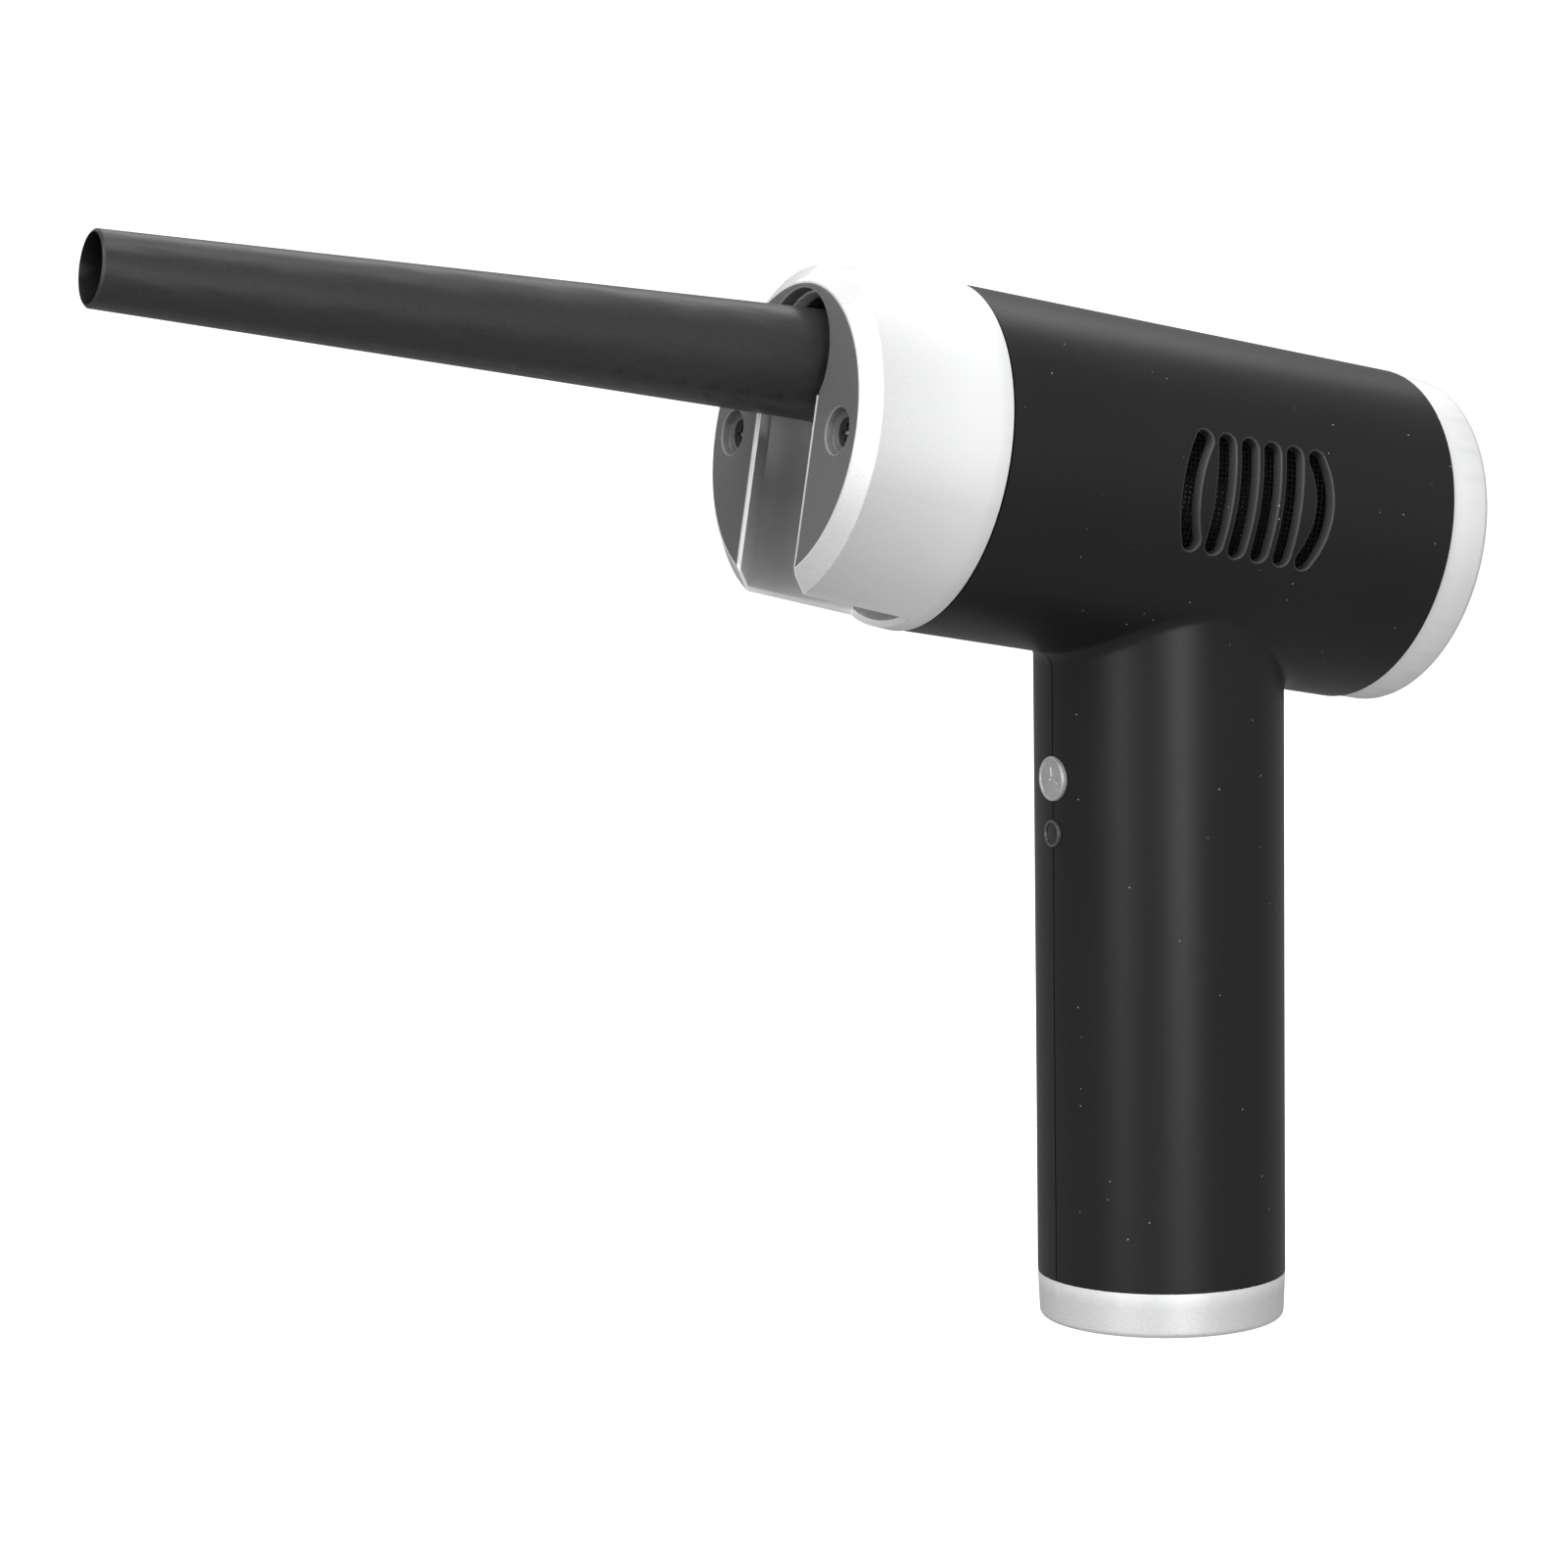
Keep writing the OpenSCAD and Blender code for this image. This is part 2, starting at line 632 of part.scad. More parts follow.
module impeller() color("#55575a") barrel_frame() difference() {
    union() {
        turned([
            [impeller_s, 0], [impeller_s, hub_nose_r], [impeller_s + impeller_len, hub_r],
            [impeller_s + impeller_len, 0],
        ]);
        intersection() {
            for (i = [0:blade_count - 1]) rotate([360 / blade_count * i, 0, 0])
                translate([impeller_s + impeller_len / 2, 0, (impeller_r + hub_nose_r) / 2 - 1])
                    rotate([0, 0, blade_pitch])
                        cube([2 * impeller_len, blade_t, impeller_r - hub_nose_r + 6], center = true);
            difference() {
                bar_x(impeller_s, impeller_s + impeller_len, impeller_r);
                bar_x(impeller_s - 1, impeller_s + impeller_len + 1, hub_nose_r - 0.5);
            }
        }
    }
    bar_x(impeller_s - 1, impeller_s + impeller_len + 1, shaft_r, small);
}

module impeller_nut() color("#c8a24a") barrel_frame() difference() {
    bar_x(impeller_s + impeller_len + 0.05, impeller_s + impeller_len + 1.2, nut_r, 6);
    bar_x(impeller_s, vane_s + 5, shaft_r, small);
}

module motor_shaft() color("#c9cbce") barrel_frame() bar_x(shaft_back, shaft_front, shaft_r - eps, small);

module rotor_magnet() color("#8d8f93") barrel_frame() difference() {
    bar_x(motor_back + 7, motor_front - 7, magnet_r, small);
    bar_x(motor_back, motor_front, shaft_r - eps, small);
}

module motor_can() color("#a9abae") barrel_frame() difference() {
    bar_x(motor_back, motor_front, motor_r);
    bar_x(motor_back + 2, motor_front - 2, motor_r - can_wall);
    bar_x(motor_back - 1, motor_front + 1, bearing_r + eps, small);
    for (i = [0:5]) rotate([60 * i, 0, 0]) translate([0, 0, lead_circle_r])
        bar_x(motor_back - 1, motor_back + 3, lead_hole_r, small);
    for (i = [0:2]) rotate([120 * i, 0, 0]) translate([0, 0, screw_circle_r])
        bar_x(motor_front - 3, motor_front + 1, mount_screw_r + run_gap, small);
}

module motor_coils() color("#b5652b") barrel_frame() difference() {
    bar_x(motor_back + 5, motor_front - 5, coil_r);
    bar_x(motor_back, motor_front, magnet_r + air_gap);
    for (i = [0:5]) rotate([60 * i + 30, 0, 0])
        translate([motor_back, -0.8, magnet_r]) cube([motor_len, 1.6, coil_r - magnet_r - 2]);
}

module bearing(at) color("#d0d2d4") barrel_frame() difference() {
    bar_x(at, at + bearing_t, bearing_r, small);
    bar_x(at - 1, at + bearing_t + 1, shaft_r + run_gap - eps, small);
}
module front_bearing() bearing(motor_front - bearing_t);
module rear_bearing() bearing(motor_back);

// A disc with four windows for the air, and a collar that the motor's front sits against
module motor_mount() color("#2e2f32") barrel_frame() difference() {
    union() {
        bar_x(mount_s, mount_s + mount_t, barrel_bore_r - seat_gap);
        bar_x(motor_front + 0.05, mount_s + 1, motor_r - 0.5);
    }
    difference() {
        bar_x(mount_s - 1, mount_s + mount_t + 1, barrel_bore_r - 2.5);
        bar_x(mount_s - 2, mount_s + mount_t + 2, motor_r);
        for (i = [0:3]) rotate([90 * i + 45, 0, 0])
            translate([mount_s - 2, -spoke_w / 2, 0]) cube([mount_t + 4, spoke_w, barrel_r]);
    }
    bar_x(motor_front - 1, mount_s + mount_t + 1, bearing_r + 0.5, small);
    for (i = [0:2]) rotate([120 * i, 0, 0]) translate([0, 0, screw_circle_r])
        bar_x(motor_front - 1, mount_s + mount_t + 1, mount_screw_r + seat_gap, small);
}

module mount_screws() color("#8b8d90") barrel_frame() for (i = [0:2]) rotate([120 * i, 0, 0])
    translate([0, 0, screw_circle_r]) {
        bar_x(motor_front - 2, mount_s + mount_t + 0.1, mount_screw_r, small);
        bar_x(mount_s + mount_t + 0.05, mount_s + mount_t + 1.3, mount_screw_r + 0.9, small);
    }

// A rubber ring on the motor's rear, with four arms that reach the shell
module motor_cradle() color("#1c1c1e") barrel_frame() difference() {
    bar_x(cradle_s, cradle_s + cradle_t, barrel_bore_r - sweep_gap);
    bar_x(cradle_s - 1, cradle_s + cradle_t + 1, motor_r + run_gap);
    difference() {
        bar_x(cradle_s - 1, cradle_s + cradle_t + 1, barrel_r);
        bar_x(cradle_s - 2, cradle_s + cradle_t + 2, cradle_r);
        for (i = [0:3]) rotate([90 * i + 45, 0, 0])
            translate([cradle_s - 2, -spoke_w / 2, 0]) cube([cradle_t + 4, spoke_w, 2 * barrel_r]);
    }
}

// A curved mesh panel behind the slots, with rows of square holes
module intake_screen() barrel_frame() intersection() {
    difference() {
        translate([vent_s, 0, 0]) bar_x(-screen_len / 2, screen_len / 2, screen_r);
        translate([vent_s, 0, 0]) bar_x(-screen_len, screen_len, screen_r - screen_t);
        for (i = [-mesh_cols:mesh_cols], j = [-mesh_rows:mesh_rows])
            translate([vent_s + i * mesh_pitch, 0, 0]) rotate([j * mesh_step, 0, 0])
                translate([0, screen_r, 0]) cube([mesh_hole, 4 * screen_t, mesh_hole], center = true);
    }
    translate([vent_s - screen_len, 0, 0]) rotate([90, 0, 90]) linear_extrude(height = 2 * screen_len)
        polygon([for (a = [-1, 0, 1]) [
            a == 0 ? 0 : 2 * barrel_r * cos(screen_angle / 2), a * 2 * barrel_r * sin(screen_angle / 2)
        ]]);
}
module intake_screen_left() color("#151516") intake_screen();
module intake_screen_right() color("#151516") on_side(-1) intake_screen();

// ---- electronics ----

module driver_board() color("#1e5b3a") barrel_frame() difference() {
    bar_x(driver_s, driver_s + driver_t, driver_r);
    bar_x(driver_s - 1, driver_s + driver_t + 1, 3, small);
}

module driver_parts() color("#202124") barrel_frame() {
    for (i = [0:5]) rotate([60 * i, 0, 0])
        translate([driver_s - chip[0], -chip[1] / 2, chip_circle_r]) cube(chip - [eps, 0, 0]);
    for (i = [0:2]) rotate([120 * i + 30, 0, 0]) translate([0, 0, capacitor_circle_r])
        bar_x(driver_s - capacitor_h, driver_s - eps, capacitor_r, small);
}

module motor_leads() color("#9c2f2a") barrel_frame() for (i = [0:2]) rotate([120 * i + 60, 0, 0])
    translate([0, 0, lead_circle_r]) bar_x(driver_s + driver_t + run_gap, motor_back + 2.2, lead_r, small);

// A wire through a list of points: straight rods with balls at the bends
module wire(points) {
    for (i = [0:len(points) - 2]) {
        step = points[i + 1] - points[i];
        flat = norm([step[0], step[1]]);
        translate(points[i]) rotate([0, atan2(flat, step[2]), atan2(step[1], step[0])])
            cylinder(h = norm(step), r = lead_r, $fn = 8);
    }
    for (i = [1:len(points) - 2]) translate(points[i]) sphere(r = 1.1 * lead_r, $fn = 8);
}

// A point of the barrel's middle plane, at a distance along it and a height above its axis
function barrel_point(along, up, across) = [
    along * cos(barrel_tilt) - up * sin(barrel_tilt), across,
    barrel_axis_z + along * sin(barrel_tilt) + up * cos(barrel_tilt),
];

module battery_leads() color("#9c2f2a") for (side = [-1, 1])
    wire([
        [-4, side * 3, cell_top + 2 * tab_t + tray_t],
        barrel_point(-8, 4 - barrel_bore_r, side * 3),
        barrel_point(-14, 6 - barrel_bore_r, side * 3),
        barrel_point(driver_s + driver_t + 0.2, 8 - barrel_bore_r, side * 3),
    ]);

module power_button() color("#c4c6c8") translate([0, 0, button_z]) {
    turned([
        [stem_back, 0], [stem_back, button_flange_r], [stem_back + button_flange_t, button_flange_r],
        [stem_back + button_flange_t, button_r], [handle_r + button_proud - 0.5, button_r],
        [handle_r + button_proud, button_r - 0.7], [handle_r + button_proud, 0],
    ]);
}

module switch_plunger() color("#e0d6c0") translate([0, 0, button_z])
    bar_x(tact_front - 1, stem_back - 0.02, plunger_r, small);

module tact_switch() color("#2a2b2d") translate([0, 0, button_z]) difference() {
    translate([board_x + board_t + 0.02, -tact_side / 2, -tact_side / 2])
        cube([tact_front - board_x - board_t - 0.02, tact_side, tact_side]);
    bar_x(tact_front - 1.1 - button_travel, tact_front + 1, plunger_r + run_gap, small);
}

module switch_board() color("#1e5b3a") translate([board_x, -board_w / 2, board_low])
    cube([board_t, board_w, board_high - board_low]);

module status_led() color("#f4f1da") translate([0, 0, lens_z]) {
    translate([board_x + board_t + 0.02, -1.6, -1.6]) cube([0.8, 3.2, 3.2]);
    bar_x(board_x + board_t + 0.8, board_x + board_t + led_h, 1.4, small);
}

module indicator_lens() color("#17181a") translate([0, 0, lens_z]) turned([
    [board_x + board_t + led_h + 0.2, 0], [board_x + board_t + led_h + 0.2, lens_r - 0.5],
    [handle_bore_r - 1.6, lens_r - 0.5], [handle_bore_r - 1.6, lens_flange_r],
    [handle_bore_r - 0.7, lens_flange_r], [handle_bore_r - 0.7, lens_r],
    [handle_r + lens_proud - 0.2, lens_r], [handle_r + lens_proud, lens_r - 0.25],
    [handle_r + lens_proud, 0],
]);

// ---- battery and charging ----

module cell_tray(z) color("#5a5c5f") translate([0, 0, z]) difference() {
    cylinder(h = tray_t, r = handle_bore_r - seat_gap, $fn = fine);
    for (a = cell_angles) rotate(a) translate([cell_circle_r, 0, -1])
        cylinder(h = tray_t + 2, r = tray_hole_r, $fn = small);
}
module lower_cell_tray() cell_tray(tray_z - tab_t);
module upper_cell_tray() cell_tray(cell_top + tab_t);

module cell(i) color("#3a6ea5") rotate(cell_angles[i]) translate([cell_circle_r, 0, cell_z]) {
    cylinder(h = cell_len - pole_h, r = cell_r, $fn = fine);
    translate([0, 0, cell_len - pole_h - eps]) cylinder(h = pole_h + eps, r = pole_r, $fn = small);
}
module cell_rear() cell(0);
module cell_left() cell(1);
module cell_right() cell(2);

module cell_tabs() color("#c9cbce") for (z = [cell_z - tab_t, cell_top]) translate([0, 0, z])
    difference() {
        cylinder(h = tab_t - eps, r = cell_circle_r + 3, $fn = 3);
        translate([0, 0, -1]) cylinder(h = 3, r = 3, $fn = small);
    }

module charge_board() color("#1e5b3a") translate([0, 0, charge_board_z])
    cylinder(h = charge_board_t, r = charge_board_r, $fn = fine);

module charge_socket() color("#c9cbce") translate([0, 0, socket_recess]) difference() {
    rotate(90) linear_extrude(height = charge_board_z - socket_recess - eps)
        socket_outline(socket_w, socket_h);
    translate([0, 0, -1]) rotate(90) linear_extrude(height = charge_board_z - 2)
        difference() {
            socket_outline(socket_w - 2 * socket_wall, socket_h - 2 * socket_wall);
            square([socket_w - 2.4, socket_tongue], center = true);
        }
}

left_shell();
right_shell();
front_head();
face_plate();
face_screws();
rear_cap();
bottom_cap();
nozzle_tube();
hinge_pins();
hinge_carrier();
detent_spring();
outlet_seal();
air_duct();
vane_ring();
impeller();
impeller_nut();
motor_shaft();
rotor_magnet();
motor_can();
motor_coils();
front_bearing();
rear_bearing();
motor_mount();
mount_screws();
motor_cradle();
intake_screen_left();
intake_screen_right();
driver_board();
driver_parts();
motor_leads();
power_button();
switch_plunger();
tact_switch();
switch_board();
status_led();
indicator_lens();
lower_cell_tray();
upper_cell_tray();
cell_rear();
cell_left();
cell_right();
cell_tabs();
battery_leads();
charge_board();
charge_socket();
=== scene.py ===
"""Looks of a cordless hand blower, built round its packed CAD frame.

Lengths inside the shape functions are millimetres. A point of the barrel is (s, y, n): s is the
distance along the barrel from the grip's axis, y is the row's own Y and n is the height above the
barrel's axis. The two shell halves meet on the plane Y = 0.
"""

import json
import math

import bmesh
import bpy
import numpy as np
from bpy.props import FloatProperty, FloatVectorProperty, IntProperty, PointerProperty
from mathutils import Matrix, Vector
from mathutils.geometry import delaunay_2d_cdt


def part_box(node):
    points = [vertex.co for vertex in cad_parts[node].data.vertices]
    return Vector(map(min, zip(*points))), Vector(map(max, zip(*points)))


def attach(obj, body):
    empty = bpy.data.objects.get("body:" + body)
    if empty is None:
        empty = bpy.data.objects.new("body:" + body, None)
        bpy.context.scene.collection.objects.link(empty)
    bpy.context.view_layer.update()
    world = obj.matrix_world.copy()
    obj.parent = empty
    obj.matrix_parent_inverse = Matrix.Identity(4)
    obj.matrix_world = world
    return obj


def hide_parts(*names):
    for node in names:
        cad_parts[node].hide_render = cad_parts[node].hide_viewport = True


bl_info = {
    "name": "Hand blower looks",
    "version": (1, 0, 0),
    "blender": (4, 5, 0),
    "location": "View3D > Sidebar > Blower",
    "description": "Builds the visible pieces, finishes and stage of a cordless hand blower",
    "category": "Object",
}

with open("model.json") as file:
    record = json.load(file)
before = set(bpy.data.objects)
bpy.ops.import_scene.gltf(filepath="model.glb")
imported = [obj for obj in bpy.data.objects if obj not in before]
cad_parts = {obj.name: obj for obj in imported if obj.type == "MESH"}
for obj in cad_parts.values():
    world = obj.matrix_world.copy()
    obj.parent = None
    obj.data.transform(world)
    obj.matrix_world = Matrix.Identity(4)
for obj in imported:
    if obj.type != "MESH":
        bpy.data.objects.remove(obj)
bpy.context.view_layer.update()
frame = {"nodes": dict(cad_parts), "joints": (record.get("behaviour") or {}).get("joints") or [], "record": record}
NODES = frame["nodes"]
JOINTS = {j["name"]: j for j in frame["joints"]}
MM = 0.001

# The barrel's axis is the rotor's, and the grip's axis is the row's own Z
SPIN = JOINTS["rotor_spin"]
TILT = math.atan2(SPIN["axis"][2], SPIN["axis"][0])
AXIS_Z = SPIN["pos_m"][2] / MM
COS_T, SIN_T = math.cos(TILT), math.sin(TILT)


def box_mm(node):
    """Lowest and highest corner of a CAD node, in millimetres."""
    low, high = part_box(node)
    return np.array(low) / MM, np.array(high) / MM


GRIP_R = box_mm("bottom_cap")[1][1]
BARREL_R = box_mm("left_shell")[1][1]
HEAD_R = box_mm("front_head")[1][1]
PLATE_R = box_mm("face_plate")[1][1]
CAP_H = box_mm("bottom_cap")[1][2]
CAP_GAP = 0.25  # Between the bottom cap and the shells


# ---- sizes and colours that a user would change ----


def length(name, text, default_mm):
    """A length property whose default is given in millimetres."""
    return FloatProperty(name=name, description=text, default=default_mm * MM, unit="LENGTH", precision=5)


def number(name, text, default):
    """A plain number property."""
    return FloatProperty(name=name, description=text, default=default)


def colour(name, text, default):
    """A colour property, linear."""
    return FloatVectorProperty(name=name, description=text, default=default, subtype="COLOR", size=3)


class ShellSizes(bpy.types.PropertyGroup):
    """Sizes of the two black shell halves."""

    front: length("Front end", "Distance along the barrel to the joint with the head", 48.82)
    rear: length("Rear end", "Distance along the barrel back to the joint with the rear cap", 42.5)
    wall: length("Wall", "Wall thickness of the shells", 2.2)
    fillet: length("Fillet", "Radius of the fillet between grip and barrel", 3.2)
    seam: length("Seam", "Half width of the groove where the halves meet", 0.17)
    groove: length("Groove depth", "Depth of that groove", 1.3)
    step: length("Step", "Depth of the step under the caps", 1.6)
    button_z: length("Button height", "Height of the power button's centre", 97.9)
    lens_z: length("Lens height", "Height of the indicator lens's centre", 88.2)
    slot_w: length("Slot width", "Width of each intake slot", 3.3)
    slot_h: length("Slot height", "Height of each intake slot", 20.6)
    slot_pitch: length("Slot pitch", "Distance between the slots", 4.7)
    slot_bow: length("Slot bow", "How far the outer slots bow outwards", 2.1)
    slot_s: length("Slot centre", "Distance along the barrel to the middle of the slots", -1.0)
    slot_edge: length("Slot edge", "Width of the soft edge round each slot", 0.42)
    slot_count: IntProperty(name="Straight slots", description="Straight slots on a side", default=4)


class HeadSizes(bpy.types.PropertyGroup):
    """Sizes of the silver head, its face plate and its channel."""

    back: length("Joint", "Distance along the barrel to the joint with the shells", 49.2)
    chamfer: length("Chamfer start", "Distance along the barrel to the start of the front chamfer", 73.5)
    face: length("Face", "Distance along the barrel to the front face", 76.0)
    front_r: length("Front radius", "Radius of the head where the chamfer starts", 28.85)
    ring_r: length("Face radius", "Radius of the front face", 25.5)
    channel: length("Channel half-width", "Half-width of the channel under the nozzle", 9.85)
    channel_back: length("Channel end", "Distance along the barrel to the channel's flat end", 52.775)
    channel_edge: length("Channel edge", "Width of the chamfer along the channel's mouth", 0.5)
    rim: length("Rim", "Width of the bright rim and chamfer beside the plate", 0.65)
    plate_t: length("Plate thickness", "Thickness of the grey face plate", 2.3)
    arch_r: length("Arch radius", "Radius of the arch round the nozzle", 12.2)
    arch_n: length("Arch height", "Height of the arch's centre above the barrel's axis", 12.2)
    neck_top: length("Neck top", "Height where the arch meets its neck", 8.5)
    neck_low: length("Neck bottom", "Height where the neck meets the channel", 6.5)
    well_y: length("Well distance", "Distance of the screw wells from the middle", 18.8)
    well_r: length("Well radius", "Radius of the screw wells", 3.9)
    well_depth: length("Well depth", "Depth of the screw wells", 1.5)


class ButtonSizes(bpy.types.PropertyGroup):
    """Sizes of the power button and of the indicator lens below it."""

    radius: length("Button radius", "Radius of the power button", 4.0)
    proud: length("Button height", "How far the button stands out of the grip", 0.6)
    bevel: length("Button bevel", "Width of the button's bright edge", 0.55)
    mark: length("Mark height", "How far the fan mark stands out of the button", 0.24)
    lens_r: length("Lens radius", "Radius of the indicator lens", 2.4)
    droop: number("Nozzle droop", "Nozzle's angle below the barrel, in degrees", 2.7)
    nozzle_lip: length("Nozzle lip", "Thickness of the nozzle's lip at its tip", 0.22)


class FinishColours(bpy.types.PropertyGroup):
    """Colours of the finishes that show."""

    shell: colour("Shell", "Soft matt black of the shells", (0.0115, 0.0115, 0.0118))
    silver: colour("Silver", "Satin silver paint of the head and the caps", (0.78, 0.785, 0.79))
    plate: colour("Plate", "Fine-textured grey of the face plate", (0.115, 0.116, 0.118))
    nozzle: colour("Nozzle", "Fine-grained dark grey of the nozzle", (0.023, 0.023, 0.0235))
    button: colour("Button", "Satin silver of the power button", (0.52, 0.52, 0.525))


class StageSizes(bpy.types.PropertyGroup):
    """Where the camera stands."""

    azimuth: number("Azimuth", "Camera's angle round the object, in degrees", 152.158)
    elevation: number("Elevation", "Camera's angle above the horizon, in degrees", 5.093)
    roll: number("Roll", "Camera's turn about its own axis, in degrees", -0.776)
    distance: length("Distance", "Camera's distance from its target", 664.05)
    lens: number("Lens", "Focal length in millimetres", 89.91)


class Lengths:
    """The lengths of one of the groups, in millimetres."""

    def __init__(self, group):
        self.group = group

    def __getattr__(self, name):
        return getattr(getattr(bpy.context.scene, self.group), name) / MM


SHELL, HEAD, BUTTON = Lengths("blower_shell"), Lengths("blower_head"), Lengths("blower_button")


# ---- shape helpers ----


def barrel_to_row(points):
    """Turns (s, y, n) points by the barrel's tilt about Y and lifts them to its axis."""
    s, y, n = points[..., 0], points[..., 1], points[..., 2]
    return np.stack([s * COS_T - n * SIN_T, y, AXIS_Z + s * SIN_T + n * COS_T], -1)


def spaced(low, high, step):
    """Evenly spaced values from low to high, about a step apart."""
    return np.linspace(low, high, max(2, int(round(abs(high - low) / step)) + 1))


def arc(centre, radius, start, end, count=6):
    """Points of a circle's arc between two angles in degrees."""
    a = np.radians(np.linspace(start, end, count))
    return np.stack([centre[0] + radius * np.cos(a), centre[1] + radius * np.sin(a)], -1)


def inside(points, outline):
    """Whether each point lies in a closed outline: a ray along +X crosses it an odd number of times."""
    a, b = outline, np.roll(outline, -1, 0)
    x, y = points[:, :1], points[:, 1:]
    rise = np.where(a[:, 1] == b[:, 1], 1.0, b[:, 1] - a[:, 1])
    across = a[:, 0] + (y - a[:, 1]) * (b[:, 0] - a[:, 0]) / rise
    return (((a[:, 1] > y) != (b[:, 1] > y)) & (x < across)).sum(1) % 2 == 1


def moved_in(outline, by):
    """An anticlockwise outline moved inwards: each corner goes along the mean of its two edge normals,
    by the distance divided by the cosine of half the corner's turn."""
    ahead = np.roll(outline, -1, 0) - outline
    normal = np.stack([-ahead[:, 1], ahead[:, 0]], -1) / np.linalg.norm(ahead, axis=1)[:, None]
    before = np.roll(normal, 1, 0)
    return outline + np.reshape(by, (-1, 1)) * (normal + before) / (1 + (normal * before).sum(1))[:, None]


def filled(outer, holes, step):
    """Triangles that fill an outline and leave its holes open: a grid of points, less those near an
    outline, is triangulated with the outlines' edges kept, and triangles outside are dropped.
    Returns the points, the triangles, and the row of each outline's points."""
    loops = [outer, *holes]
    rim = np.vstack(loops)
    starts = np.cumsum([0] + [len(loop) for loop in loops])
    rows = [np.arange(a, b) for a, b in zip(starts, starts[1:])]
    edges = np.vstack([np.stack([row, np.roll(row, -1)], -1) for row in rows])
    low, high = outer.min(0), outer.max(0)
    across, up = np.meshgrid(spaced(low[0], high[0], step[0]), spaced(low[1], high[1], step[1]))
    grid = np.stack([across.ravel(), up.ravel()], -1)
    nearest = lambda part: np.linalg.norm(rim[None] - part[:, None], axis=2).min(1)
    gap = np.concatenate([nearest(part) for part in np.array_split(grid, 16)])
    keep = (gap > 0.6 * min(step)) & inside(grid, outer)
    for hole in holes:
        keep &= ~inside(grid, hole)
    points = np.vstack([rim, grid[keep]])
    made = delaunay_2d_cdt(points.tolist(), edges.tolist(), [], 0, 1e-5)
    if len(made[0]) != len(points):
        raise RuntimeError("An outline crosses itself or another one")
    triangles = np.array(made[2])
    middle = points[triangles].mean(1)
    keep = inside(middle, outer)
    for hole in holes:
        keep &= ~inside(middle, hole)
    return points, triangles[keep], rows


def ring_faces(rings, closed=True):
    """Quads between successive rows of point numbers."""
    a, b = rings[:-1], rings[1:]
    if closed:
        quads = np.stack([a, np.roll(a, -1, 1), np.roll(b, -1, 1), b], -1)
    else:
        quads = np.stack([a[:, :-1], a[:, 1:], b[:, 1:], b[:, :-1]], -1)
    return quads.reshape(-1, 4)


def linked(name, data):
    """A new object in the scene."""
    made = bpy.data.objects.new(name, data)
    bpy.context.scene.collection.objects.link(made)
    return made


class Shape:
    """Collects points and faces in millimetres and makes one mesh object of them."""

    def __init__(self):
        self.points, self.faces, self.count, self.raw = [], [], 0, []

    def add(self, points, *faces, raw=0.0):
        """Adds points, faces that number them from 0, and how much painted light and shade each point takes."""
        self.points.append(points.reshape(-1, 3))
        self.raw.append(np.broadcast_to(raw, len(self.points[-1])))
        self.faces += [f + self.count for f in faces]
        self.count += len(self.points[-1])

    def grid(self, points, closed_rows=False, closed_columns=False, raw=0.0):
        """Adds a grid of points with a quad in each cell."""
        rows, columns = points.shape[:2]
        numbers = np.arange(rows * columns).reshape(rows, columns)
        if closed_rows:
            numbers = np.vstack([numbers, numbers[:1]])
        self.add(points, ring_faces(numbers, closed_columns), raw=raw)

    def object(self, name, finish, sharp=32, weld=0.002, shade="FACE_AREA"):
        """Merges equal points, turns the faces outwards, keeps edges sharper than an angle and shades
        the rest by face area or by corner angle."""
        points = np.vstack(self.points) * MM
        loops = np.concatenate([f.ravel() for f in self.faces]).astype(np.int32)
        sizes = np.concatenate([np.full(len(f), f.shape[1]) for f in self.faces])
        mesh = bpy.data.meshes.new(name)
        mesh.vertices.add(len(points))
        mesh.vertices.foreach_set("co", points.astype(np.float32).ravel())
        mesh.loops.add(len(loops))
        mesh.loops.foreach_set("vertex_index", loops)
        mesh.polygons.add(len(sizes))
        mesh.polygons.foreach_set("loop_start", (np.cumsum(sizes) - sizes).astype(np.int32))
        mesh.update(calc_edges=True)
        # Each point's painted light and shade, which the finishes turn into painted highlights and painted shade
        raw = np.concatenate(self.raw).astype(np.float32)
        mesh.attributes.new("raw", "FLOAT", "POINT").data.foreach_set("value", raw)
        solid = bmesh.new()
        solid.from_mesh(mesh)
        bmesh.ops.remove_doubles(solid, verts=solid.verts, dist=weld * MM)
        bmesh.ops.dissolve_degenerate(solid, dist=1e-8, edges=solid.edges)
        open_edges = sum(len(e.link_faces) != 2 for e in solid.edges)
        bmesh.ops.recalc_face_normals(solid, faces=solid.faces)
        solid.to_mesh(mesh)
        solid.free()
        if open_edges:
            raise RuntimeError(f"{name}: {open_edges} edges without two faces")
        mesh.set_sharp_from_angle(angle=math.radians(sharp))
        made = linked(name, mesh)
        mesh.materials.append(finish)
        shading = made.modifiers.new("shading", "WEIGHTED_NORMAL")
        shading.mode, shading.keep_sharp = shade, True
        shading.weight = 80
        return made


def turned(profile, count):
    """A profile of (distance, radius) points turned about local X: y = r cos a, z = r sin a."""
    a = np.linspace(0, 2 * np.pi, count, endpoint=False)
    d, r = profile[:, :1], profile[:, 1:]
    return np.stack([d + 0 * a, r * np.cos(a), r * np.sin(a)], -1)


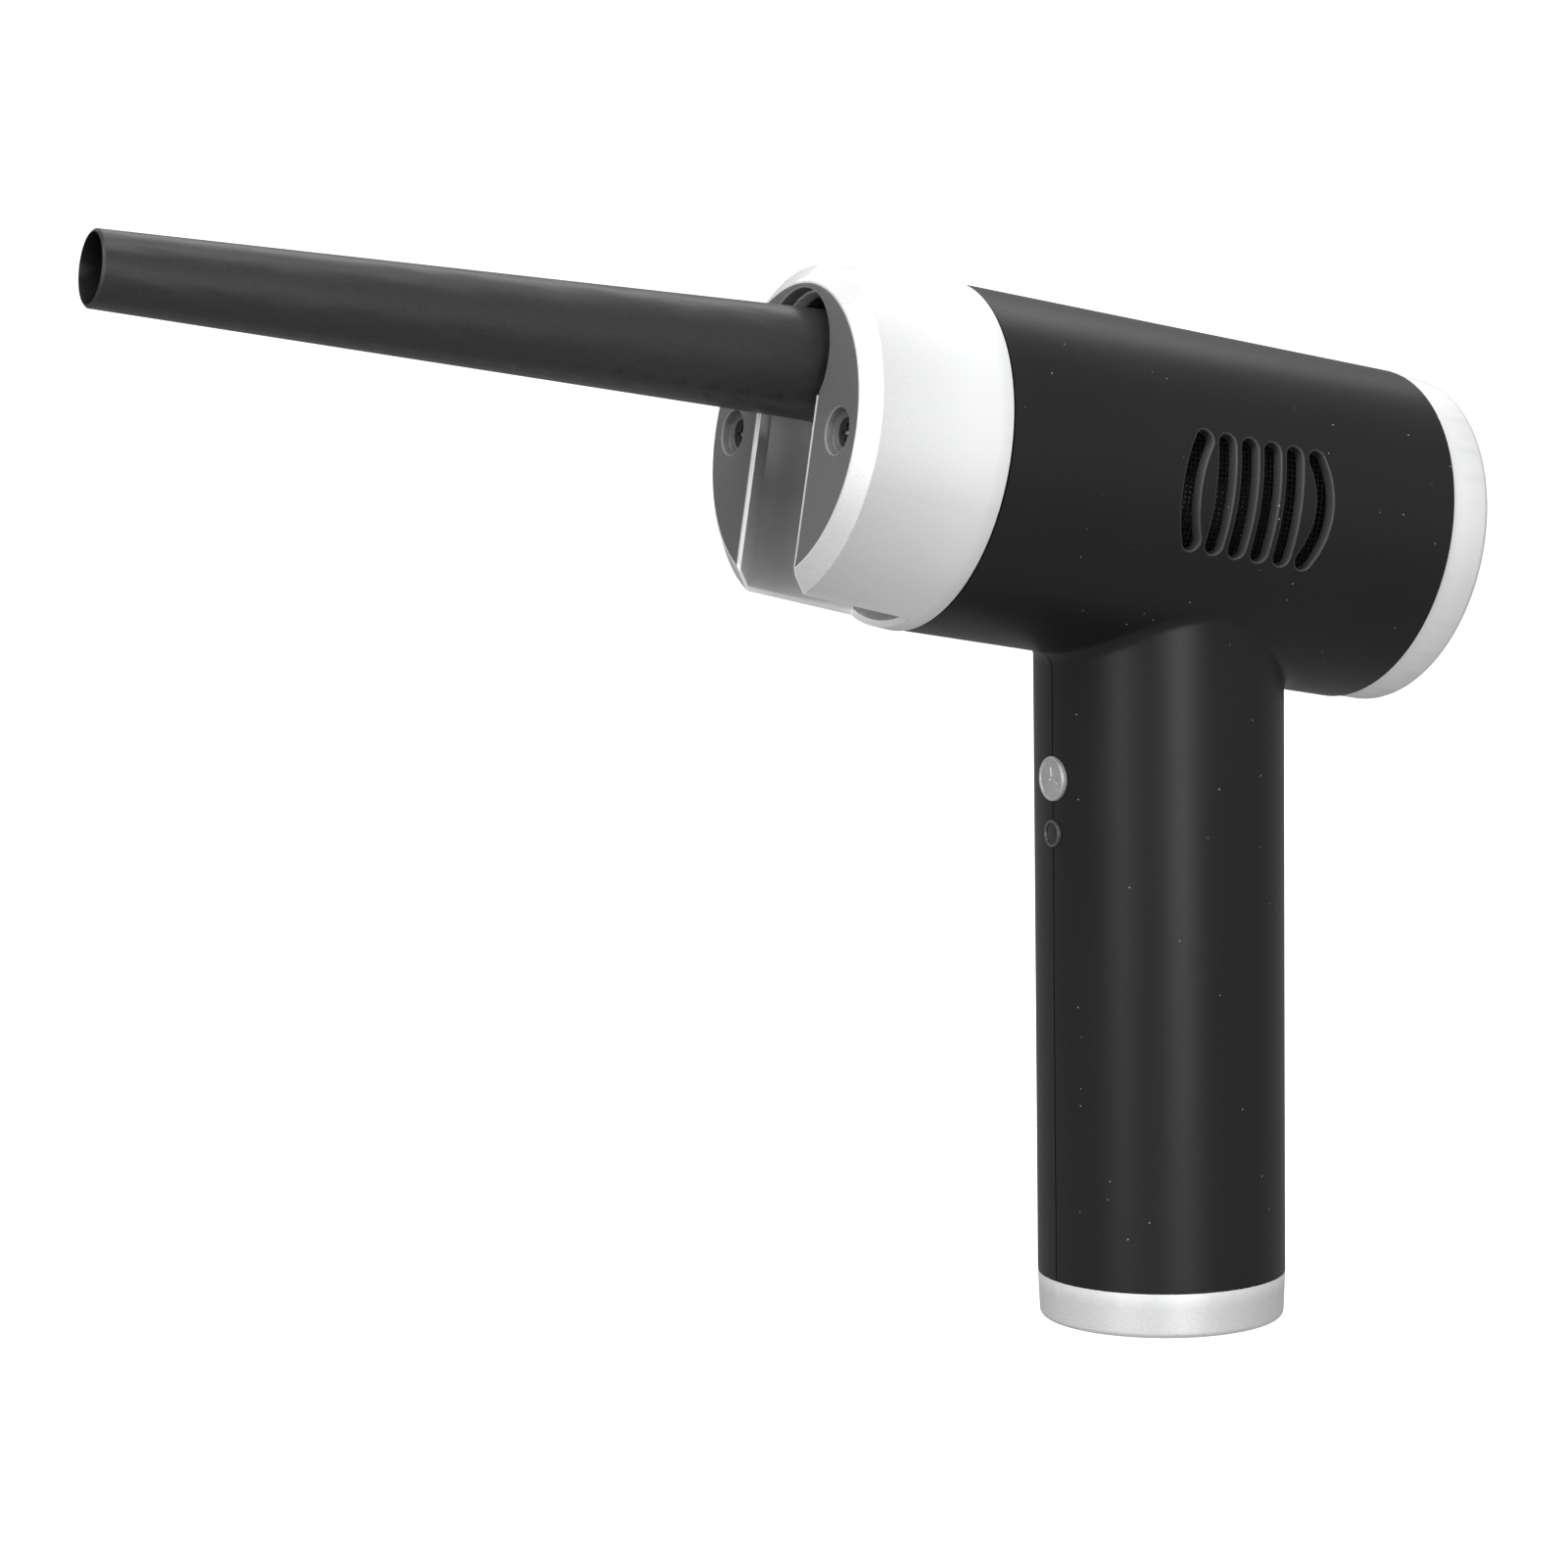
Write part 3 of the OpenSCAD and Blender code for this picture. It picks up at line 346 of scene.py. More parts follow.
def slab(shape, outer, holes, front, back, edge, place, step=2.0, raw=0.0, bright=0.0):
    """A plate between two levels. The front outline is moved in by the edge and two rings round it off.
    A hole is rows of (outline, level) from front to back. place puts (level, across, up) in the row."""
    front_outer = moved_in(outer, edge)
    points, triangles, rows = filled(front_outer, [hole[0][0] for hole in holes], (step, step))
    total = len(points)
    back_points = points.copy()
    back_points[rows[0]] = outer
    for row, hole in zip(rows[1:], holes):
        back_points[row] = hole[-1][0]
    level = lambda flat, at: np.column_stack([np.broadcast_to(at, len(flat)), flat])
    stack = [level(points, front), level(back_points, back)]
    faces = [triangles, triangles[:, ::-1] + total]
    edge = edge * np.sign(front - back)
    rings = [(moved_in(outer, 0.3 * np.abs(edge)), front - 0.3 * edge), (outer, front - edge)]
    extra = 2 * total
    painted_values = [np.full(total, raw), np.full(total, raw)]
    for row, middle in [(rows[0], rings)] + [(r, hole[1:-1]) for r, hole in zip(rows[1:], holes)]:
        numbers = [row]
        for k, (outline, at) in enumerate(middle):
            stack.append(level(outline, at))
            # The first ring of each rounded edge takes the bright value, a painted highlight; the rest take the
            # painted light and shade value
            painted_values.append(np.full(len(outline), bright if k == 0 else raw))
            numbers.append(np.arange(extra, extra + len(row)))
            extra += len(row)
        numbers.append(row + total)
        faces.append(ring_faces(np.array(numbers)))
    quads = np.vstack([f for f in faces if f.shape[1] == 4])
    shape.add(place(np.vstack(stack)), np.vstack(faces[:2]), quads, raw=np.concatenate(painted_values))


# ---- shader helpers ----


class Value:
    """A number socket that adds Math nodes when it is used in an expression."""

    def __init__(self, finish, socket):
        self.finish, self.socket = finish, socket

    def math(self, operation, *others, clamp=False):
        settings = {"operation": operation, "use_clamp": clamp}
        made = self.finish.node("ShaderNodeMath", settings, self, *others)
        return Value(self.finish, made.outputs[0])

    def __add__(self, other):
        return self.math("ADD", other)

    def __mul__(self, other):
        return self.math("MULTIPLY", other)

    def __rsub__(self, other):
        return (self * -1) + other

    __radd__, __rmul__ = __add__, __mul__

    def above(self, edge, soft):
        """0 below an edge and 1 above it, with a soft step."""
        return self.math("SUBTRACT", edge).math("DIVIDE", soft, clamp=True)

    def colour(self, low, high):
        """A mix of two colours by this value."""
        return self.finish.mix(self, low, high)


class Finish:
    """One procedural material, with its Principled shader."""

    def __init__(self, name, **constants):
        self.material = bpy.data.materials.new(name)
        self.material.use_nodes = True
        self.tree = self.material.node_tree
        self.tree.nodes.clear()
        self.shader = self.node("ShaderNodeBsdfPrincipled", {}, **constants)
        self.node("ShaderNodeOutputMaterial", {}, Surface=self.shader.outputs[0])
        self.where = self.node("ShaderNodeTexCoord", {}).outputs["Object"]

    def node(self, kind, settings, *values, **named):
        """Adds a node: its settings, then the values or links of its sockets in order or by name."""
        made = self.tree.nodes.new(kind)
        for key, value in settings.items():
            setattr(made, key, value)
        for socket, value in zip(made.inputs, values):
            self.put(socket, value)
        for key, value in named.items():
            self.put(made.inputs[key.replace("_", " ")], value)
        return made

    def put(self, socket, value):
        """Links a socket to another one, or sets its number or colour."""
        value = getattr(value, "socket", value)
        if isinstance(value, bpy.types.NodeSocket):
            self.tree.links.new(value, socket)
        elif socket.type == "RGBA" and len(value) == 3:
            socket.default_value = (*value, 1)
        else:
            socket.default_value = value

    def noise(self, scale, detail=3.0, rough=0.55, stretch=None):
        """Noise in object space, of so many lumps a metre, perhaps stretched along an axis."""
        where = self.where
        if stretch:
            where = self.node("ShaderNodeMapping", {}, Vector=where, Scale=stretch).outputs[0]
        sockets = {"Vector": where, "Scale": scale, "Detail": detail, "Roughness": rough}
        return Value(self, self.node("ShaderNodeTexNoise", {}, **sockets).outputs[0])

    def cells(self, scale):
        """Scattered points, of so many a metre: the distance to the nearest, and its own number."""
        made = self.node("ShaderNodeTexVoronoi", {}, Vector=self.where, Scale=scale)
        own = self.node("ShaderNodeSeparateColor", {}, made.outputs["Color"]).outputs[0]
        return Value(self, made.outputs["Distance"]), Value(self, own)

    def carried(self, name):
        """A number that the mesh keeps at each point."""
        return Value(self, self.node("ShaderNodeAttribute", {"attribute_name": name}).outputs["Fac"])

    def wear(self):
        """Where the surface turns a convex edge, from the geometry's own pointiness."""
        return Value(self, self.node("ShaderNodeNewGeometry", {}).outputs["Pointiness"])

    def mix(self, factor, low, high):
        """A mix of two colours."""
        made = self.node("ShaderNodeMix", {"data_type": "RGBA"})
        self.put(made.inputs["Factor"], factor)
        self.put(made.inputs[6], low)
        self.put(made.inputs[7], high)
        return made.outputs[2]

    def bump(self, height, depth_mm):
        """Feeds a height to the shader's normal, with the depth in millimetres."""
        made = self.node("ShaderNodeBump", {}, Strength=1.0, Distance=depth_mm * MM, Height=height)
        self.put(self.shader.inputs["Normal"], made.outputs[0])

    def paint(self, **values):
        """Links or sets the shader's own sockets."""
        for key, value in values.items():
            self.put(self.shader.inputs[key.replace("_", " ")], value)


def scaled(tint, by):
    """A colour made lighter or darker."""
    return tuple(min(1.0, c * by) for c in tint)


def soft_black(name, tint):
    """Soft-touch black: a very fine grain, faint cloudy rub marks that change the gloss, a few pale specks
    of dust, and a painted highlight, rougher too, on the points that the mesh marks."""
    made = Finish(name, IOR=1.46, Specular_IOR_Level=0.3)
    grain = made.noise(5200, 2.0, 0.6)
    rub = made.noise(42, 4.0, 0.6, (1.0, 1.0, 0.45))
    dust, own = made.cells(420)
    speck = (1 - dust.above(0.035, 0.04)) * own.above(0.74, 0.01)
    body = rub.above(0.3, 0.45).colour(scaled(tint, 0.93), scaled(tint, 1.08))
    # Painted highlight: the marked points, the slots' rounded edges and walls, are lightened to stand in for the
    # light that falls on them
    painted_highlight_mask = made.carried("raw")
    made.paint(
        Base_Color=made.mix(speck, made.mix(painted_highlight_mask, body, scaled(tint, 4.5)), (0.32, 0.32, 0.32)),
        Roughness=0.30 + rub * 0.09 + grain * 0.07 + painted_highlight_mask * 0.15,
    )
    made.bump(grain + speck * 0.6, 0.012)
    return made.material


def satin_silver(name, tint):
    """Satin silver paint: metal flakes as fine light and dark points, a faint orange-peel, gloss that
    varies a little, convex edges made lighter, partly rubbed paint and partly a painted highlight, and
    painted shade on the points that the mesh marks."""
    made = Finish(name, Metallic=0.42, IOR=1.5)
    flakes, _ = made.cells(4200)
    peel = made.noise(900, 2.0, 0.5)
    cloud = made.noise(35, 3.0, 0.5)
    # Convex edges made lighter: partly rubbed paint, partly a painted highlight where the edges catch the light
    edge = made.wear().above(0.52, 0.06)
    body = flakes.above(0.2, 0.5).colour(scaled(tint, 1.05), scaled(tint, 0.9))
    # Painted shade: the marked points, such as the head's channel walls and end, darken towards a tenth of the
    # tint
    painted_shade = made.mix(made.carried("raw"), body, scaled(tint, 0.12))
    made.paint(
        Base_Color=made.mix(edge, painted_shade, scaled(tint, 1.2)),
        Roughness=0.33 + cloud * 0.06 + flakes * 0.10,
    )
    made.bump(peel + flakes * 0.35, 0.010)
    return made.material


def fine_grey(name, tint):
    """Moulded grey with a spark-eroded texture: two sizes of pits, painted darker than the peaks as painted shade,
    and a painted highlight on the edges that the mesh marks.
    """
    made = Finish(name, IOR=1.5)
    pits = made.noise(3800, 3.0, 0.65)
    cloud = made.noise(60, 3.0, 0.5)
    # Painted shade in the pits: the low points of the texture are coloured darker than the peaks
    body = pits.above(0.35, 0.3).colour(scaled(tint, 0.85), scaled(tint, 1.12))
    # Painted highlight: the marked edges of the plate and its wells are lightened towards three times the tint
    edge = made.carried("raw") * (0.6 + cloud * 0.4)
    made.paint(
        Base_Color=made.mix(edge, body, scaled(tint, 3.0)),
        Roughness=0.36 + pits * 0.12 + cloud * 0.06,
    )
    made.bump(pits, 0.02)
    return made.material


def grained_grey(name, tint):
    """The nozzle's matt dark grey: fine grain with paler points, rub marks along the tube, and painted shade
    inside the tip's bore.
    """
    made = Finish(name, IOR=1.5)
    grain = made.noise(2600, 4.0, 0.7)
    rub = made.noise(70, 4.0, 0.6, (0.25, 1.0, 1.0))
    body = grain.above(0.42, 0.25).colour(scaled(tint, 0.84), scaled(tint, 1.15))
    body = made.mix(rub.above(0.55, 0.3) * 0.35, body, scaled(tint, 1.5))
    # Painted shade: the bore's marked points and the faces next to them go to a quarter of the tint
    made.paint(
        Base_Color=made.mix(made.carried("raw").above(0.004, 0.01), body, scaled(tint, 0.25)),
        Roughness=0.26 + grain * 0.14 + rub * 0.08,
    )
    made.bump(grain, 0.022)
    return made.material


def brushed_metal(name, tint, rough=0.28, metallic=1.0):
    """Bare metal with fine lines and small differences of gloss."""
    made = Finish(name, Metallic=metallic)
    lines = made.noise(700, 3.0, 0.6, (1.0, 0.06, 1.0))
    stain = made.noise(90, 3.0, 0.6)
    body = stain.above(0.35, 0.4).colour(scaled(tint, 0.9), scaled(tint, 1.06))
    made.paint(Base_Color=body, Roughness=(rough - 0.06) + lines * 0.12)
    made.bump(lines, 0.008)
    return made.material


def moulded(name, tint, rough=0.5, grain_mm=0.02, shine=0.5):
    """Plain moulded plastic or rubber: fine grain, cloudy colour and gloss."""
    made = Finish(name, IOR=1.48, Specular_IOR_Level=shine)
    grain = made.noise(2200, 3.0, 0.6)
    cloud = made.noise(80, 3.0, 0.55)
    made.paint(
        Base_Color=cloud.above(0.3, 0.4).colour(scaled(tint, 0.9), scaled(tint, 1.1)),
        Roughness=(rough - 0.08) + grain * 0.1 + cloud * 0.06,
    )
    made.bump(grain, grain_mm)
    return made.material


def circuit_board(name, tint):
    """Solder mask over copper tracks: lines on a fine grid that show lighter and stand up a little."""
    made = Finish(name, IOR=1.5)
    tracks = made.node(
        "ShaderNodeTexBrick", {}, Vector=made.where, Scale=260.0, Mortar_Size=0.06,
        Color1=(0.0, 0.0, 0.0), Color2=(0.0, 0.0, 0.0), Mortar=(1.0, 1.0, 1.0),
    )
    line = Value(made, tracks.outputs["Fac"])
    grain = made.noise(1800, 2.0, 0.5)
    made.paint(Base_Color=line.colour(tint, scaled(tint, 1.8)), Roughness=0.3 + grain * 0.12)
    made.bump(line * 0.6 + grain * 0.2, 0.02)
    return made.material


def wound_copper(name, tint):
    """Enamelled wire: fine turns across the coil that differ in tone."""
    made = Finish(name, Metallic=0.9)
    turns = made.noise(2400, 1.0, 0.4, (1.0, 0.08, 0.08))
    made.paint(
        Base_Color=turns.above(0.35, 0.3).colour(scaled(tint, 0.7), scaled(tint, 1.15)),
        Roughness=0.25 + turns * 0.15,
    )
    made.bump(turns, 0.08)
    return made.material


def smoked_lens(name, tint):
    """Smoked clear plastic: dark, glossy, with fine swirls in the gloss, and a painted highlight on its marked
    rim.
    """
    made = Finish(name, IOR=1.49, Coat_Roughness=0.08)
    swirl = made.noise(260, 3.0, 0.5)
    body = swirl.colour(scaled(tint, 0.8), scaled(tint, 1.2))
    # Painted highlight: the marked points, the lens's rim, are lightened to seven times the tint
    made.paint(
        Base_Color=made.mix(made.carried("raw"), body, scaled(tint, 7)),
        Roughness=0.22 + swirl * 0.12,
        Coat_Weight=0.25,
    )
    made.bump(swirl, 0.004)
    return made.material


def shrink_wrap(name, tint):
    """Glossy shrink film with long wrinkles."""
    made = Finish(name, IOR=1.5, Coat_Roughness=0.1)
    wrinkle = made.noise(160, 3.0, 0.5, (1.0, 1.0, 0.2))
    made.paint(
        Base_Color=wrinkle.colour(scaled(tint, 0.85), scaled(tint, 1.15)),
        Roughness=0.24 + wrinkle * 0.14,
        Coat_Weight=0.4,
    )
    made.bump(wrinkle, 0.05)
    return made.material


def all_finishes():
    """Every material slot's finish, in the record's names, from its function and what that takes."""
    c = bpy.context.scene.blower_colours
    table = {
        "shell_black": (soft_black, c.shell),
        "satin_silver": (satin_silver, c.silver),
        "plate_grey": (fine_grey, c.plate),
        "dark_screw": (brushed_metal, (0.035, 0.035, 0.037), 0.4, 0.6),
        "nozzle_grey": (grained_grey, c.nozzle),
        "bright_steel": (brushed_metal, (0.62, 0.62, 0.63)),
        "inner_plastic": (moulded, (0.07, 0.07, 0.072)),
        "seal_rubber": (moulded, (0.018, 0.018, 0.018), 0.6, 0.03),
        "impeller_grey": (moulded, (0.11, 0.11, 0.115), 0.4),
        "brass": (brushed_metal, (0.62, 0.44, 0.18)),
        "magnet": (brushed_metal, (0.28, 0.28, 0.29), 0.35),
        "motor_steel": (brushed_metal, (0.5, 0.5, 0.51), 0.32),
        "copper_wire": (wound_copper, (0.55, 0.2, 0.08)),
        "screen_black": (moulded, (0.004, 0.004, 0.004), 0.75, 0.02, 0.12),
        "board_green": (circuit_board, (0.02, 0.1, 0.05)),
        "chip_black": (moulded, (0.02, 0.02, 0.022), 0.45, 0.01),
        "lead_red": (moulded, (0.35, 0.03, 0.03), 0.4, 0.01),
        "button_silver": (satin_silver, c.button),
        "plunger_ivory": (moulded, (0.6, 0.55, 0.42), 0.35, 0.005),
        "led_clear": (moulded, (0.8, 0.78, 0.65), 0.25, 0.003),
        "lens_black": (smoked_lens, (0.010, 0.010, 0.0105)),
        "cell_wrap": (shrink_wrap, (0.05, 0.15, 0.35)),
    }
    return {name: make(name, tuple(tint), *rest) for name, (make, tint, *rest) in table.items()}


FINISHES = {}


def settle(shape, name, body, slot_name, node, **shading):
    """Makes a shape's object in its slot's finish, puts it on its body and hides the CAD node that it
    stands for."""
    piece = shape.object(name, FINISHES[slot_name], **shading)
    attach(piece, body)
    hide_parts(node)


# ---- shells ----


def slot_outline(at, extra, bowed, mirrored):
    """One slot as (s, n) points: a centre line, straight or a circle's arc that bows by the given
    height, with the half-width on both sides and a half circle at each end."""
    half = SHELL.slot_w / 2 + extra
    reach = SHELL.slot_h / 2 - SHELL.slot_w / 2
    bow = SHELL.slot_bow if bowed else 1e-4
    bend = (reach**2 + bow**2) / (2 * bow)
    tip = math.asin(reach / bend)
    angle = np.linspace(-tip, tip, 15)
    normal = np.stack([np.cos(angle), np.sin(angle)], -1)
    centre = bend * normal - [bend, 0]
    turn = np.radians(np.linspace(0, 180, 11))[1:-1, None]
    along = np.stack([-normal[:, 1], normal[:, 0]], -1)
    top = centre[-1] + half * (np.cos(turn) * normal[-1] + np.sin(turn) * along[-1])
    low = centre[0] - half * (np.cos(turn) * normal[0] + np.sin(turn) * along[0])
    outline = np.vstack([centre + half * normal, top, (centre - half * normal)[::-1], low])
    if mirrored:
        outline = (outline * [-1, 1])[::-1]
    return outline + [SHELL.slot_s + at, 0]


def slots(extra):
    """All the slots of one side."""
    pitch, count = SHELL.slot_pitch, bpy.context.scene.blower_shell.slot_count
    edge = pitch * (count + 1) / 2 + SHELL.slot_bow
    found = [slot_outline((i - (count - 1) / 2) * pitch, extra, False, False) for i in range(count)]
    return found + [slot_outline(edge, extra, True, False), slot_outline(-edge, extra, True, True)]


def fillet_loops(count=61):
    """The rolling-ball fillet between grip and barrel on the +Y side, for angles round the grip. The
    ball's centre is a fillet radius from both cylinders; its contacts are the nearest points of each.
    Returns the centres, the grip's contacts and the barrel's contacts, in the row's frame."""
    radius, seam = SHELL.fillet, SHELL.seam
    first = math.asin(seam / GRIP_R)
    phi = np.linspace(first, np.pi - first, count)
    x, y = (GRIP_R + radius) * np.cos(phi), (GRIP_R + radius) * np.sin(phi)
    n = -np.sqrt((BARREL_R + radius) ** 2 - y**2)
    z = AXIS_Z + (n + x * SIN_T) / COS_T
    centre = np.stack([x, y, z], -1)
    grip = centre - radius * np.stack([np.cos(phi), np.sin(phi), 0 * phi], -1)
    s = x * COS_T + (z - AXIS_Z) * SIN_T
    share = BARREL_R / (BARREL_R + radius)
    barrel = np.stack([s, y * share, n * share], -1)
    return phi, centre, grip, barrel


def shell_skin():
    """The outer skin of the +Y half: barrel, fillet and grip. Returns its points, outward normals,
    triangles, the row of each slot's points, and a mask for the edges of the two holes."""
    seam, radius = SHELL.seam, SHELL.fillet
    front, rear = SHELL.front, -SHELL.rear
    phi, centre, grip, barrel = fillet_loops()
    barrel_grid, grip_grid, bends = (2.0, 1.5), (1.5, 2.4), 9
    # Barrel, unrolled: s across and the arc length from the bottom up
    mouth = np.stack([barrel[:, 0], BARREL_R * np.arctan2(barrel[:, 1], -barrel[:, 2])], -1)
    low, high = mouth[0, 1], np.pi * BARREL_R - mouth[0, 1]
    line = lambda a, b, step=1.6: np.linspace(a, b, max(2, int(np.hypot(*np.subtract(b, a)) / step)))[:-1]
    outer = np.vstack([
        line((rear, low), mouth[-1]), mouth[::-1][:-1], line(mouth[0], (front, low)),
        line((front, low), (front, high)), line((front, high), (rear, high)),
        line((rear, high), (rear, low)),
    ])
    unrolled = lambda o: np.stack([o[:, 0], BARREL_R * (np.pi / 2 + np.arcsin(o[:, 1] / BARREL_R))], -1)
    holes = [unrolled(o) for o in slots(SHELL.slot_edge)]
    flat, triangles, rows = filled(outer, holes, barrel_grid)
    turn = flat[:, 1] / BARREL_R
    around = np.stack([0 * turn, np.sin(turn), -np.cos(turn)], -1)
    points = [barrel_to_row(np.stack([flat[:, 0], 0 * turn, 0 * turn], -1) + BARREL_R * around)]
    normals = [barrel_to_row(around) - [0, 0, AXIS_Z]]
    faces = [triangles]
    # Fillet: the arc from the barrel's contact to the grip's about each centre
    a = (barrel_to_row(barrel) - centre) / radius
    b = (grip - centre) / radius
    angle = np.arccos(np.clip((a * b).sum(1), -1, 1))[:, None]
    share = np.linspace(0, 1, bends)[:, None, None]
    spoke = (np.sin((1 - share) * angle) * a + np.sin(share * angle) * b) / np.sin(angle)
    points.append((centre + radius * spoke).reshape(-1, 3))
    normals.append(-spoke.reshape(-1, 3))
    quads = ring_faces(np.arange(bends * len(phi)).reshape(bends, -1), closed=False)
    faces.append(np.vstack([quads[:, :3], quads[:, [0, 2, 3]]]) + len(flat))
    # Grip, unrolled: arc length across and height up, with half a hole for the button and the lens
    across = GRIP_R * phi
    bottom, edge = CAP_H + CAP_GAP, []
    for height, hole_r in ((SHELL.button_z, BUTTON.radius + 0.15), (SHELL.lens_z, BUTTON.lens_r + 0.05)):
        first = math.asin(seam / hole_r)
        tilt = np.linspace(first, np.pi - first, 17)
        turn = np.arcsin(hole_r * np.sin(tilt) / GRIP_R)
        edge.append(np.stack([GRIP_R * turn, height + hole_r * np.cos(tilt)], -1))
    top = np.stack([across, grip[:, 2]], -1)
    outer = np.vstack([
        line((across[0], bottom), (across[-1], bottom), 1.5), line((across[-1], bottom), top[-1], 2.0),
        top[::-1][:-1], line(top[0], edge[0][0], 2.0), edge[0][:-1], line(edge[0][-1], edge[1][0], 2.0),
        edge[1][:-1], line(edge[1][-1], (across[0], bottom), 2.0),
    ])
    flat2, triangles2, _ = filled(outer, [], grip_grid)
    turn = flat2[:, 0] / GRIP_R
    around = np.stack([np.cos(turn), np.sin(turn), 0 * turn], -1)
    points.append(GRIP_R * around + np.stack([0 * turn, 0 * turn, flat2[:, 1]], -1))
    normals.append(around)
    before = len(flat) + bends * len(phi)
    faces.append(triangles2 + before)
    hole = np.zeros(len(flat2), bool)
    for loop in edge:
        hole |= (np.abs(flat2[:, None] - loop[None]).sum(2).min(1) < 1e-6) & (turn < 1)
    hole = np.concatenate([np.zeros(before, bool), hole])
    return np.vstack(points), np.vstack(normals), np.vstack(faces), rows[1:], hole


def shell_half(side):
    """One closed shell half: the outer skin, the same skin a wall further in, a groove along the seam,
    steps under the caps, and slots whose edges are rounded and whose walls run along Y."""
    points, normals, faces, slot_rows, hole = shell_skin()
    wall, depth = SHELL.wall, SHELL.groove
    seam, edge = SHELL.seam, SHELL.slot_edge
    front, rear = SHELL.front, -SHELL.rear
    # Equal points of neighbouring skins get one number; the nudge keeps them off a rounding's edge
    nudge = 3.17e-5
    rounded = np.round(points + nudge, 3)
    _, first, same = np.unique(rounded, axis=0, return_index=True, return_inverse=True)
    same = same.ravel()
    points, normals, hole = points[first], normals[first], hole[first] | (np.bincount(same, hole) > 0)
    faces = same[faces]
    faces = faces[(faces != np.roll(faces, 1, 1)).all(1)]
    slot_rows = [same[r] for r in slot_rows]
    s = points[:, 0] * COS_T + (points[:, 2] - AXIS_Z) * SIN_T
    on_seam = points[:, 1] < 1.35 * seam  # The nearest other points lie further out
    on_front, on_rear = s > front - 1e-3, s < rear + 1e-3
    on_bottom = (points[:, 2] < CAP_H + CAP_GAP + 0.01) & (np.abs(normals[:, 2]) < 1e-6)
    ends = on_front | on_rear | on_bottom
    sunk = np.where(ends, SHELL.step, depth)

    def inward(by):
        """Points moved into the wall; round holes keep their width on the way."""
        flat = points - np.reshape(by, (-1, 1)) * normals
        x = np.sqrt(np.maximum((GRIP_R - by) ** 2 - points[:, 1] ** 2, 0))
        return np.where(hole[:, None], np.stack([x, points[:, 1], points[:, 2]], -1), flat)

    spigot = 1.7  # Length of the step under each cap
    shift = np.zeros_like(points)
    shift[:, 1] -= np.where(on_seam, points[:, 1], 0)
    along = np.array([COS_T, 0, SIN_T])
    shift += spigot * (np.outer(on_front * 1.0 - on_rear, along) - np.outer(on_bottom, [0, 0, 1]))
    inner = inward(np.full(len(points), wall))
    step = inward(sunk)
    total = len(points)
    everything = [points, step, step + shift, inner + shift, inner]
    rows = np.arange(5 * total).reshape(5, total)
    # Rim: edges that only one triangle uses, less those of the slots
    pairs = np.vstack([faces[:, [0, 1]], faces[:, [1, 2]], faces[:, [2, 0]]])
    _, where, uses = np.unique(np.sort(pairs, 1), axis=0, return_index=True, return_counts=True)
    rim = pairs[where[uses == 1]]
    in_slot = np.isin(rim, np.concatenate(slot_rows)).all(1)
    start, end = rim[~in_slot].T
    quads = [np.stack([a[start], a[end], b[end], b[start]], -1) for a, b in zip(rows, rows[1:])]
    # Slots: rounded edge, then a wall along Y
    count = 5 * total
    turns = np.radians([22.5, 45, 67.5, 90])
    steps = [(edge * (1 - math.sin(a)), edge * (1 - math.cos(a))) for a in turns]
    for k, row in enumerate(slot_rows):
        rings = [row]
        for extra, down in [*steps, (0, wall)]:
            o = slots(extra)[k]
            ring = np.stack([o[:, 0], np.sqrt((BARREL_R - down) ** 2 - o[:, 1] ** 2), o[:, 1]], -1)
            everything.append(barrel_to_row(ring))
            rings.append(np.arange(count, count + len(row)))
            count += len(row)
        rings.append(row + 4 * total)
        quads.append(ring_faces(np.array(rings)))
    shape = Shape()
    every = np.vstack(everything) * [1, side, 1]
    raw = np.zeros(len(every))
    # The slots' rounded edges and walls take a painted highlight in the shell's finish
    raw[5 * total:] = 1
    # Only the points that a face uses are kept
    skins = [faces, faces[:, ::-1] + 4 * total, np.vstack(quads)]
    used = np.unique(np.concatenate([skin.ravel() for skin in skins]))
    compact = np.zeros(len(every), int)
    compact[used] = np.arange(len(used))
    shape.add(every[used], *(compact[skin] for skin in skins), raw=raw[used])
    return shape


class BLOWER_OT_shells(bpy.types.Operator):
    """Builds both shell halves with their fillet, seam groove and intake slots"""

    bl_idname = "blower.shells"
    bl_label = "Shell halves"

    def execute(self, context):
        for side, name in ((1, "left"), (-1, "right")):
            settle(shell_half(side), f"shell_{name}_skin", "housing", "shell_black", f"{name}_shell")
        return {"FINISHED"}


# ---- intake screens ----


def tubes(shape, centre, side, out, radius):
    """Closed tubes along rows of centres: each station is a ring of radius r in the plane of its side and
    out directions, and r falls to 0 at both ends."""
    a = np.linspace(0, 2 * np.pi, 6)[:-1]
    swell = np.full(centre.shape[1], radius)
    swell[[0, -1]] = 0
    spoke = np.cos(a)[:, None] * side[:, :, None] + np.sin(a)[:, None] * out[:, :, None]
    rings = centre[:, :, None] + swell[None, :, None, None] * spoke
    wires, stations = centre.shape[:2]
    numbers = np.arange(wires * stations * 5).reshape(wires, stations, 5)
    shape.add(rings, np.vstack([ring_faces(n) for n in numbers]))


